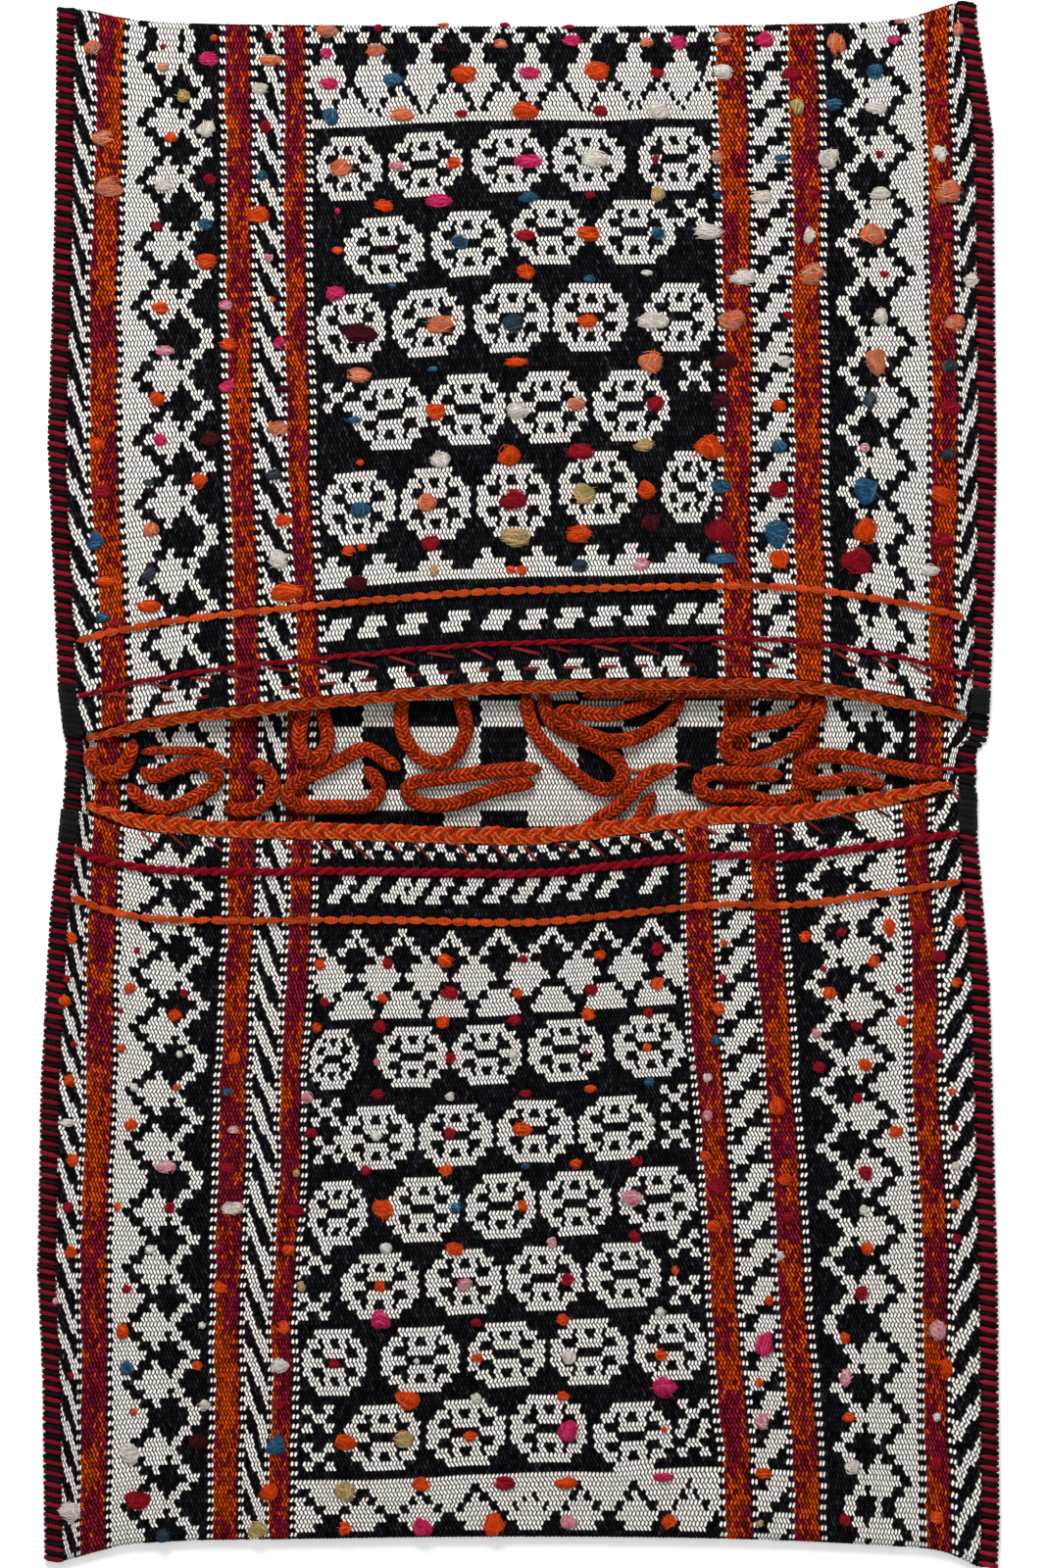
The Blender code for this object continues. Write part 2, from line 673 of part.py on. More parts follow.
def add_front(skin, pocket):
    """The pocket's front and its fold. Returns the fold's points where they reach the back."""
    columns = [side_column(pocket, -1), *front_columns(pocket), side_column(pocket, 1)]
    mouth = [column[0] for column in columns]
    fold = [column[-1] for column in columns]
    outline = mouth + columns[-1][1:-1] + fold[::-1] + columns[0][-2:0:-1]
    lines = [(column, False) for column in columns[1:-1]]
    middles = []
    for kind, cx, cy, offsets, _, ramp in pocket.figures:
        lines.append(([(cx + dx, cy + dy) for dx, dy in offsets], True))
        if ramp < 1:
            inner = [(cx + dx * (1 - ramp), cy + dy * (1 - ramp)) for dx, dy in offsets]
            lines.append((inner, True))
        else:
            middles.append((cx, cy))
    places, faces = tiled(outline, lines, middles)
    kinds = []
    for face in faces:
        x = sum(places[i][0] for i in face) / len(face)
        y = sum(places[i][1] for i in face) / len(face)
        kinds.append(pocket.relief(x, y)[1])
    skin.add([(x, y, pocket.top_z(x, y)) for x, y in places], faces, kinds)

    coarse = [place for column in columns[2:-2:4] for place in column[1:-1:2]]
    places, faces = tiled(outline, [], coarse)
    skin.add([(x, y, pocket.inner_z(x, y)) for x, y in places], faces, ["ground"] * len(faces))

    def pair(place):
        return (*place, pocket.top_z(*place)), (*place, pocket.inner_z(*place))

    skin.strip([pair(place) for place in mouth])
    for column in (columns[0], columns[-1]):
        skin.strip([pair(place) for place in column])
    arcs = [fold_arc(pocket, x) for x, _ in fold]
    for left, right in zip(arcs, arcs[1:]):
        for layer in (0, 1):
            skin.strip([(a[layer], b[layer]) for a, b in zip(left, right)])
    for arc in (arcs[0], arcs[-1]):
        skin.strip(arc)
    return [arc[-1] for arc in arcs]


def make_cloth(upper, lower):
    skin = Skin()
    top, bottom = add_front(skin, upper), add_front(skin, lower)
    sides = {}
    for side, i in ((-1, 0), (1, -1)):
        low, high = bottom[i][0][1], top[i][0][1]
        places = [(cloth_edge(side, y), y) for y in edge_knots(side, low, high)]
        sides[side] = places
        chain = [bottom[i][0][:2], *places, top[i][0][:2]]
        skin.strip([((*place, 0.0), (*place, CLOTH)) for place in chain])
    outline = (
        [pair[0][:2] for pair in bottom]
        + sides[1]
        + [pair[0][:2] for pair in reversed(top)]
        + sides[-1][::-1]
    )
    places, faces = tiled(outline, [], [])
    for height in (0.0, CLOTH):
        skin.add([(x, y, height) for x, y in places], faces, ["ground"] * len(faces))
    materials = {
        "ground": wool("black_wool", BLACK_WOOL),
        "stripe": wool("rust_wool", RUST_WOOL),
        "figure": wool("white_wool", WHITE_WOOL),
        "tuft": wool("tuft_wool", TUFT_WOOL, 0.97),
    }
    return skin.build("woven_cloth", materials)


def rope(name, path, radii, sides, material):
    """A closed tube of rings around the path, one radius for each point."""
    shape = bmesh.new()
    rings = []
    for i, (point, radius) in enumerate(zip(path, radii)):
        ahead = path[min(i + 1, len(path) - 1)] - path[max(i - 1, 0)]
        side = ahead.cross(Vector((0, 0, 1))).normalized()
        up = side.cross(ahead).normalized()
        ring = []
        for k in range(sides):
            angle = 2 * math.pi * (k + 0.5) / sides
            ring.append(shape.verts.new(point + radius * (math.cos(angle) * side + math.sin(angle) * up)))
        rings.append(ring)
    for first, second in zip(rings, rings[1:]):
        for k in range(sides):
            n = (k + 1) % sides
            shape.faces.new((first[k], first[n], second[n], second[k]))
    shape.faces.new(rings[0][::-1])
    shape.faces.new(rings[-1])
    bmesh.ops.recalc_face_normals(shape, faces=shape.faces)
    mesh = bpy.data.meshes.new(name)
    shape.to_mesh(mesh)
    shape.free()
    mesh.materials.append(material)
    return add_object(name, mesh)


def ridged_radii(path, radius, depth):
    return [radius if i % 2 else radius - depth for i in range(len(path))]


def mouth_line(pocket):
    """Centre line of the braid sewn along a mouth, in front of the cloth's edge."""
    radius = pocket.braid_radius
    start = cloth_edge(-1, pocket.corners[-1]) + radius
    stop = cloth_edge(1, pocket.corners[1]) - radius
    steps = 16
    line = []
    for i in range(steps + 1):
        x = start + (stop - start) * i / steps
        height = pocket.inner_z(x, pocket.mouth(x)) + CLOTH / 2
        lowest = CLOTH + CLEARANCE + radius
        line.append(Vector((x, pocket.braid(x), max(height, lowest))))
    return line


def make_mouth_braid(name, pocket, material):
    path = smooth_path(mouth_line(pocket), BRAID_PITCH / 2)
    return rope(name, path, ridged_radii(path, pocket.braid_radius, BRAID_DEPTH), 6, material)


def stitch_line(pocket, setback, spread, radius):
    """Centre line of a row of stitches that lies on the front."""
    steps = 24
    line = []
    for i in range(steps + 1):
        place = 2 * i / steps - 1
        reach = setback + spread * place**2
        side = math.copysign(1, place)
        y = pocket.corners[side] + pocket.end * reach
        start, stop = cloth_edge(-1, y), cloth_edge(1, y)
        x = (start + stop) / 2 + place * ((stop - start) / 2 - radius)
        y = pocket.braid(x) + pocket.end * reach
        line.append(Vector((x, y, pocket.outer_z(x, y) + STRIPE_RELIEF + CLEARANCE + radius)))
    return line


def make_stitch_row(name, pocket, setback, spread, radius, material):
    path = smooth_path(stitch_line(pocket, setback, spread, radius), STITCH_PITCH / 2)
    return rope(name, path, ridged_radii(path, radius, STITCH_DEPTH), 4, material)


def make_binding(name, side, low, high, height, rise, material):
    """Yarn wrapped over a side edge from low to high: a ridged bar as wide as the wraps."""
    count = max(2, round((high - low) / (WRAP_PITCH / 2)))
    bottom = CLEARANCE
    shape = bmesh.new()
    rings = []
    stations = {low + (high - low) * i / count: WRAP_DEPTH * ((i + 1) % 2) for i in range(count + 1)}
    stations.update((y, WRAP_DEPTH / 2) for y in edge_knots(side, low, high))
    for y, groove in sorted(stations.items()):
        inner = cloth_edge(side, y) + side * CLEARANCE
        outer = outer_edge(side, y) - side * groove
        top = height + rise - groove
        shoulder = inner + side * BINDING_WIDTH * 0.45
        section = (
            (inner, bottom),
            (outer - side * BINDING_WIDTH * 0.2, bottom),
            (outer, (bottom + top) / 2),
            (shoulder, top),
            (inner, top - rise),
        )
        rings.append([shape.verts.new((x, y, z)) for x, z in section])
    for first, second in zip(rings, rings[1:]):
        for k in range(len(first)):
            n = (k + 1) % len(first)
            shape.faces.new((first[k], first[n], second[n], second[k]))
    shape.faces.new(rings[0][::-1])
    shape.faces.new(rings[-1])
    bmesh.ops.recalc_face_normals(shape, faces=shape.faces)
    mesh = bpy.data.meshes.new(name)
    shape.to_mesh(mesh)
    shape.free()
    mesh.materials.append(material)
    return add_object(name, mesh)


def make_cord(name, points, radius, material):
    """A plain round cord along the points."""
    curve = bpy.data.curves.new(name, "CURVE")
    curve.dimensions = "3D"
    curve.bevel_depth = radius
    curve.bevel_resolution = 2
    curve.use_fill_caps = True
    spline = curve.splines.new("POLY")
    spline.points.add(len(points) - 1)
    for point, place in zip(spline.points, points):
        point.co = (*place, 1)
    curve.materials.append(material)
    return add_object(name, curve)


def make_bindings(upper, lower, crimson, black):
    """Side wraps of both pockets and the bridge, with black wraps at the four mouth corners."""
    seam_height = 2 * CLOTH + SIDE_HOLLOW
    gap = CLEARANCE
    for side, word in ((-1, "left"), (1, "right")):
        top, bottom = (
            pocket.end_line(cloth_edge(side, pocket.fold_corners[side])) for pocket in (upper, lower)
        )
        mouth_top, mouth_bottom = upper.corners[side], lower.corners[side]
        black_top = mouth_top + CORNER_REACH[side][0]
        black_bottom = mouth_bottom - CORNER_REACH[side][1]
        make_binding(f"binding_{word}_upper", side, black_top + gap, top, seam_height, BINDING_RISE, crimson)
        make_binding(
            f"corner_wrap_{word}_upper", side, mouth_top, black_top - gap, seam_height, CORNER_RISE, black
        )
        make_binding(
            f"binding_{word}_bridge",
            side,
            mouth_bottom + gap,
            mouth_top - gap,
            CLOTH,
            BRIDGE_RISE,
            crimson,
        )
        make_binding(
            f"corner_wrap_{word}_lower",
            side,
            black_bottom + gap,
            mouth_bottom,
            seam_height,
            CORNER_RISE,
            black,
        )
        make_binding(
            f"binding_{word}_lower", side, bottom, black_bottom - gap, seam_height, BINDING_RISE, crimson
        )


def make_loops(material):
    radius = LOOP_DIAMETER / 2
    laid = CLOTH + CLEARANCE + radius
    for name, route in LOOP_ROUTES.items():
        points = [(across(x), along(y), laid + lift) for x, y, lift in route]
        make_cord(name, smooth_path(points, LOOP_POINT_SPACING), radius, material)


def make_base_cords(upper, material):
    """The thin cord sewn under the upper mouth braid, and the loose tail of the loops at the left."""
    reach = UPPER_BRAID_RADIUS + BASE_CORD_RADIUS + CLEARANCE
    drop = math.radians(20)
    first, last = (across(x) for x in BASE_CORD_SPAN_VIEW)
    points = []
    for place in mouth_line(upper):
        if first < place.x < last:
            points.append(place + Vector((0, -reach * math.cos(drop), -reach * math.sin(drop))))
    make_cord("loop_base_cord", smooth_path(points, 5 * BASE_CORD_RADIUS), BASE_CORD_RADIUS, material)
    laid = CLOTH + CLEARANCE + TAIL_RADIUS
    tail = [(across(x), along(y), laid) for x, y in LEFT_TAIL_ROUTE]
    make_cord("loop_tail", smooth_path(tail, 5 * TAIL_RADIUS), TAIL_RADIUS, material)


def main():
    for made in list(bpy.data.objects):
        bpy.data.objects.remove(made)
    root = bpy.data.objects.new(ROOT, None)
    bpy.context.scene.collection.objects.link(root)

    upper = Pocket(
        UPPER_MOUTH_VIEW,
        UPPER_BRAID_RADIUS,
        TOP_SAG,
        UPPER_STRIPES,
        UPPER_MEDALLIONS,
        UPPER_DIAMONDS,
        UPPER_TUFTS,
        end=1,
    )
    lower = Pocket(
        LOWER_MOUTH_VIEW,
        LOWER_BRAID_RADIUS,
        BOTTOM_SAG,
        LOWER_STRIPES,
        LOWER_MEDALLIONS,
        LOWER_DIAMONDS,
        LOWER_TUFTS,
        end=-1,
    )
    orange = wool("orange_braid", ORANGE_WOOL)
    rust = wool("rust_braid", RUST_WOOL)
    crimson = wool("crimson_yarn", CRIMSON_WOOL)
    black = wool("black_yarn", BLACK_WOOL)

    make_cloth(upper, lower)
    make_bindings(upper, lower, crimson, black)
    make_mouth_braid("mouth_braid_upper", upper, rust)
    make_mouth_braid("mouth_braid_lower", lower, rust)
    make_stitch_row(
        "chain_stitch_upper", upper, UPPER_CHAIN_SETBACK, UPPER_CHAIN_SPREAD, CHAIN_RADIUS, rust
    )
    make_stitch_row(
        "chain_stitch_lower", lower, LOWER_CHAIN_SETBACK, LOWER_CHAIN_SPREAD, CHAIN_RADIUS, rust
    )
    make_stitch_row(
        "twined_stitch_upper", upper, UPPER_TWINED_SETBACK, UPPER_TWINED_SPREAD, TWINED_RADIUS, crimson
    )
    make_stitch_row(
        "twined_stitch_lower", lower, LOWER_TWINED_SETBACK, LOWER_TWINED_SPREAD, TWINED_RADIUS, crimson
    )
    make_loops(orange)
    make_base_cords(upper, orange)


main()
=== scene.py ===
"""Kilim saddle bag, seen from above: a warp-faced woven strip folded into two pockets, with overcast
edges, braided mouths, closure loops, rows of stitches and small wool tufts. Metres, floor at Z = 0.

Places across and along the bag are read off a straight-down view and given in its pixels.
"""

import functools
import math

import bpy
import numpy as np
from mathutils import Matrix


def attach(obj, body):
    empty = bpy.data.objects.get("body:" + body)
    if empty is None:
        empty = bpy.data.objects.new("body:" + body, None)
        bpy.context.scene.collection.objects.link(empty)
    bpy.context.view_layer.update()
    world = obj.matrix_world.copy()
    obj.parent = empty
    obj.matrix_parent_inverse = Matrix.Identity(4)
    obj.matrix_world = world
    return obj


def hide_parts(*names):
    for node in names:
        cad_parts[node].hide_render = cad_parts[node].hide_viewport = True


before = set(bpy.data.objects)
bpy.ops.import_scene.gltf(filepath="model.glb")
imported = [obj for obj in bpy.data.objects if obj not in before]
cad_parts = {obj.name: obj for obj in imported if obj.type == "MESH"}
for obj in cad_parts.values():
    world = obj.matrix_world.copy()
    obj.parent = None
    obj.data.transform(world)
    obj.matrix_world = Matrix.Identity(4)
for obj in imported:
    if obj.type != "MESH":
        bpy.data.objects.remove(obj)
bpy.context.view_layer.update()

# The bag and its cloth
BAG_WIDTH = 0.5030
BAG_LENGTH = 0.8182
CLOTH = 0.0026
CLEARANCE = 0.0003
SIDE_HOLLOW = 0.0012
FOLD_HOLLOW = 0.0025
DEEP_HOLLOW = 0.0072
BELLY_HOLLOW = 0.0080
MOUTH_HOLLOW = 0.0115
BINDING_WIDTH = 0.0092
UPPER_BRAID_RADIUS = 0.0030
LOWER_BRAID_RADIUS = 0.0041
BRAID_SEAT = 2 * CLEARANCE
CHAIN_RADIUS = 0.0018
TWINED_RADIUS = 0.0014
LOOP_DIAMETER = 0.0068
BASE_CORD_RADIUS = 0.0020
TAIL_RADIUS = 0.0018
CORNER_REACH = {-1: (0.0260, 0.0140), 1: (0.0130, 0.0200)}

# Setback of each stitch row from its mouth braid, and what it gains towards the sides
STITCH_ROWS = {
    "chain_stitch_upper": (0.0505, 0.0020),
    "twined_stitch_upper": (0.0232, 0.0),
    "chain_stitch_lower": (0.0450, 0.0065),
    "twined_stitch_lower": (0.0195, 0.0065),
}

# The straight-down view: metres for one of its pixels, its middle and its size
VIEW_SCALE = 0.000513
VIEW_MIDDLE_X = 529.0
VIEW_MIDDLE_Y = 800.5
VIEW_WIDTH = 1067
VIEW_HEIGHT = 1600

# How far each side lies inside the full width, as (y, inset) from top to bottom
LEFT_INSETS = (
    (0.4000, 0.0100),
    (0.2957, 0.0088),
    (0.1752, 0.0052),
    (0.0480, 0.0108),
    (0.0180, 0.0146),
    (-0.0090, 0.0128),
    (-0.0690, 0.0064),
    (-0.1570, 0.0016),
    (-0.2570, 0.0),
    (-0.3140, 0.0026),
    (-0.4000, 0.0036),
)
RIGHT_INSETS = (
    (0.4000, 0.0120),
    (0.3880, 0.0100),
    (0.3410, 0.0034),
    (0.1750, 0.0016),
    (0.1100, 0.0026),
    (0.0250, 0.0056),
    (0.0180, 0.0118),
    (-0.0260, 0.0116),
    (-0.1040, 0.0052),
    (-0.2600, 0.0010),
    (-0.3900, 0.0),
    (-0.4000, 0.0008),
)

# How far each folded end sags inside the full length, as (place across in half widths, sag)
TOP_SAG = (
    (-0.92, 0.0030),
    (-0.77, 0.0097),
    (-0.38, 0.0120),
    (0.10, 0.0126),
    (0.58, 0.0113),
    (0.79, 0.0087),
    (0.91, 0.0),
)
BOTTOM_SAG = (
    (-0.95, 0.0028),
    (-0.80, 0.0118),
    (-0.46, 0.0145),
    (0.05, 0.0158),
    (0.48, 0.0143),
    (0.79, 0.0105),
    (0.88, 0.0080),
    (0.955, 0.0),
)

# Centre lines of the braids along the mouths in the view, left to right
UPPER_MOUTH_VIEW = (
    (78, 757),
    (138, 742),
    (207, 731),
    (344, 716),
    (482, 704),
    (598, 700),
    (720, 698),
    (804, 700),
    (872, 709),
    (941, 722),
    (1000, 737),
)
LOWER_MOUTH_VIEW = (
    (72, 814),
    (110, 830),
    (155, 840),
    (240, 846),
    (380, 849),
    (540, 853),
    (640, 843),
    (735, 832),
    (804, 831),
    (872, 820),
    (941, 807),
    (985, 797),
)

# Red stripes: width, and place in the view at mouth, middle and fold
UPPER_STRIPES = (
    (26, (118, 107, 115)),
    (24, (255, 246, 243)),
    (21, (318, 304, 301)),
    (28, (751, 752, 747)),
    (28, (824, 824, 818)),
    (25, (962, 962, 955)),
)
LOWER_STRIPES = (
    (26, (109, 99, 96)),
    (25, (249, 236, 231)),
    (20, (311, 293, 286)),
    (26, (708, 731, 755)),
    (26, (776, 802, 824)),
    (24, (932, 949, 958)),
)
BRIDGE_STRIPES = (
    (26, (114, 112, 109)),
    (28, (250, 249, 247)),
    (22, (306, 304, 303)),
    (28, (753, 752, 751)),
    (26, (824, 822, 818)),
    (28, (948, 948, 947)),
)

# Warps in each zone, left to right: border, stripe, zigzag, stripe, step, stripe, field, and back
UPPER_WARPS = (7, 7, 30, 7, 10, 6, 112, 7, 12, 7, 30, 7, 7)
LOWER_WARPS = (8, 7, 30, 7, 10, 6, 112, 7, 12, 7, 32, 7, 8)
# Rows from mouth to fold, and how long a row is at each depth, in view pixels
UPPER_ROWS = 132
LOWER_ROWS = 152
UPPER_PITCH = ((0.0, 5.6), (0.35, 5.5), (0.6, 5.2), (0.8, 4.8), (1.0, 5.3))
LOWER_PITCH = ((0.0, 4.3), (0.25, 4.5), (0.45, 4.8), (0.7, 4.95), (1.0, 5.1))
FOLD_ROWS = 5
# How far the rows droop, in view pixels: (x, a quarter of the way to the fold, near the fold)
UPPER_DROOP = ((324, 0, 10), (392, 0, 8), (475, 0, 2), (557, 0, 0), (732, 0, 2))
LOWER_DROOP = ((324, 13, 8), (392, 9, 7), (464, 5, 4), (537, 0, 0), (612, 2, -1), (694, 4, -5))

# Routes of the closure loops in the view, with how high each point is lifted off the cloth
LOOP_ROUTES = {
    "closure_loop_a": (
        (137, 754, 0), (134, 767, 0), (126, 783, 0), (111, 790, 0), (98, 783, 0), (92, 770, 0),
        (101, 765, 0),
    ),
    "closure_loop_b": (
        (131, 799, 0), (139, 811, 0), (152, 820, 0), (168, 825, 0), (185, 821, 0), (204, 811, 0),
        (218, 802, 0), (223, 793, 0), (218, 784, 0), (207, 779, 0), (191, 780, 0), (174, 786, 0),
        (162, 792, 0), (151, 790, 0), (144, 783, 0),
    ),
    "closure_loop_c": (
        (254, 787, 0), (263, 781, 0), (274, 788, 0), (279, 799, 0), (277, 811, 0), (268, 821, 0),
        (258, 826, 0), (242, 827, 0), (228, 825, 0),
    ),
    "closure_loop_d": (
        (314, 716, 0), (309, 733, 0), (305, 750, 0.002), (308, 766, 0.004), (320, 775, 0.0045),
        (331, 767, 0.004), (335, 751, 0.002), (331, 734, 0), (327, 716, 0),
    ),
    "closure_loop_e": (
        (409, 785, 0), (398, 779, 0), (386, 770, 0), (373, 764, 0), (361, 768, 0), (346, 777, 0),
        (330, 785, 0), (311, 794, 0), (297, 803, 0), (293, 814, 0), (303, 822, 0), (321, 824, 0),
        (346, 823, 0), (366, 824, 0), (380, 819, 0), (387, 806, 0), (382, 793, 0), (371, 783, 0),
    ),
    "closure_loop_f": (
        (412, 706, 0), (409, 728, 0), (410, 743, 0), (416, 759, 0), (429, 773, 0), (446, 779, 0),
        (462, 772, 0), (472, 758, 0), (476, 741, 0), (472, 725, 0), (467, 704, 0),
    ),
    "closure_loop_g": (
        (553, 785, 0), (533, 785, 0), (512, 786, 0), (487, 789, 0), (462, 793, 0), (438, 796, 0),
        (420, 800, 0), (415, 808, 0), (422, 817, 0), (438, 822, 0), (459, 821, 0), (479, 815, 0),
        (504, 806, 0), (525, 801, 0), (546, 799, 0),
    ),
    "closure_loop_h": (
        (537, 704, 0), (539, 730, 0), (549, 752, 0), (566, 771, 0), (583, 787, 0), (600, 800, 0),
        (616, 806, 0), (629, 803, 0), (635, 793, 0), (633, 781, 0), (624, 772, 0), (612, 763, 0),
        (593, 754, 0), (575, 746, 0), (561, 734, 0), (556, 720, 0), (556, 704, 0),
    ),
    "closure_loop_i": (
        (681, 704, 0), (666, 716, 0), (649, 723, 0.002), (632, 728, 0.005), (614, 730, 0.007),
        (596, 728, 0.0075), (580, 726, 0.0075), (570, 729, 0.0075), (573, 736, 0.0075),
        (586, 743, 0.0075), (603, 751, 0.0065), (621, 756, 0.0045), (640, 755, 0.002),
        (658, 748, 0), (674, 738, 0), (687, 726, 0), (697, 710, 0),
    ),
    "closure_loop_j": (
        (689, 783, 0), (673, 787, 0), (659, 794, 0), (648, 804, 0), (638, 816, 0), (623, 828, 0),
        (607, 838, 0), (600, 849, 0), (608, 860, 0), (626, 862, 0), (642, 853, 0), (651, 839, 0),
        (658, 824, 0), (667, 808, 0),
    ),
    "closure_loop_k": (
        (824, 708, 0), (817, 726, 0), (800, 735, 0), (780, 738, 0), (760, 741, 0), (746, 747, 0),
        (739, 757, 0), (742, 769, 0), (756, 775, 0), (776, 773, 0), (796, 765, 0), (812, 755, 0),
        (823, 743, 0), (832, 731, 0), (840, 712, 0),
    ),
    "closure_loop_l": (
        (799, 790, 0), (788, 791, 0), (766, 790, 0), (744, 789, 0), (724, 789, 0), (714, 796, 0),
        (714, 807, 0), (726, 813, 0), (743, 813, 0), (760, 813, 0), (772, 815, 0), (786, 818, 0),
        (804, 816, 0), (816, 809, 0),
    ),
    "closure_loop_m": (
        (961, 789, 0), (941, 788, 0), (921, 785, 0), (901, 781, 0), (881, 776, 0), (861, 773, 0),
        (841, 771, 0), (825, 774, 0), (815, 782, 0), (817, 792, 0), (828, 799, 0), (845, 799, 0),
        (861, 795, 0), (877, 795, 0), (892, 799, 0), (903, 801, 0),
    ),
}
LEFT_TAIL_ROUTE = ((143, 768), (160, 766), (190, 766), (210, 767), (226, 775), (241, 786))
BASE_CORD_SPAN_VIEW = (545, 850)

# Woven figures in the view: the middle of each
UPPER_MEDALLIONS = (
    (356, 176), (435, 168), (519, 165), (600, 162), (689, 162),
    (393, 253), (478, 247), (560, 243), (648, 242),
    (359, 339), (437, 335), (521, 329), (603, 327), (693, 324),
    (398, 426), (479, 421), (560, 416), (643, 413),
    (365, 520), (443, 512), (524, 507), (609, 501), (702, 498),
)
LOWER_MEDALLIONS = (
    (342, 1082), (421, 1081), (497, 1078), (576, 1073), (662, 1068),
    (385, 1157), (466, 1154), (546, 1151), (627, 1145),
    (343, 1234), (432, 1234), (512, 1230), (589, 1224), (671, 1218),
    (388, 1310), (474, 1308), (555, 1305), (637, 1300),
    (342, 1389), (430, 1386), (517, 1384), (600, 1380), (683, 1375),
    (391, 1467), (476, 1463), (561, 1461), (646, 1459),
)
UPPER_CROSSES = ((705, 218), (344, 410), (707, 385))
LOWER_CROSSES = (
    (333, 1138), (333, 1175), (687, 1120), (687, 1157), (322, 1288), (322, 1327), (698, 1272),
    (698, 1312), (325, 1450), (325, 1488), (707, 1437), (707, 1475),
)
UPPER_PEAKS = (359, 408, 460, 514, 570, 622, 672, 718)
LOWER_PEAKS = (361, 410, 459, 510, 563, 616, 668)
BOTTOM_PEAKS = (339, 401, 457, 516, 564, 620, 679, 731)
MERLONS = (342, 389, 445, 500, 551, 604, 645, 696)
UPPER_ESSES = (344, 380, 420, 464, 506, 545, 581, 618, 651, 694, 723)
LOWER_ESSES = (348, 374, 405, 425, 450, 478, 508, 536, 561, 590, 619, 663)
HEM_BIRDS = (347, 372, 410, 444, 485, 520, 556, 592, 629, 663, 690)

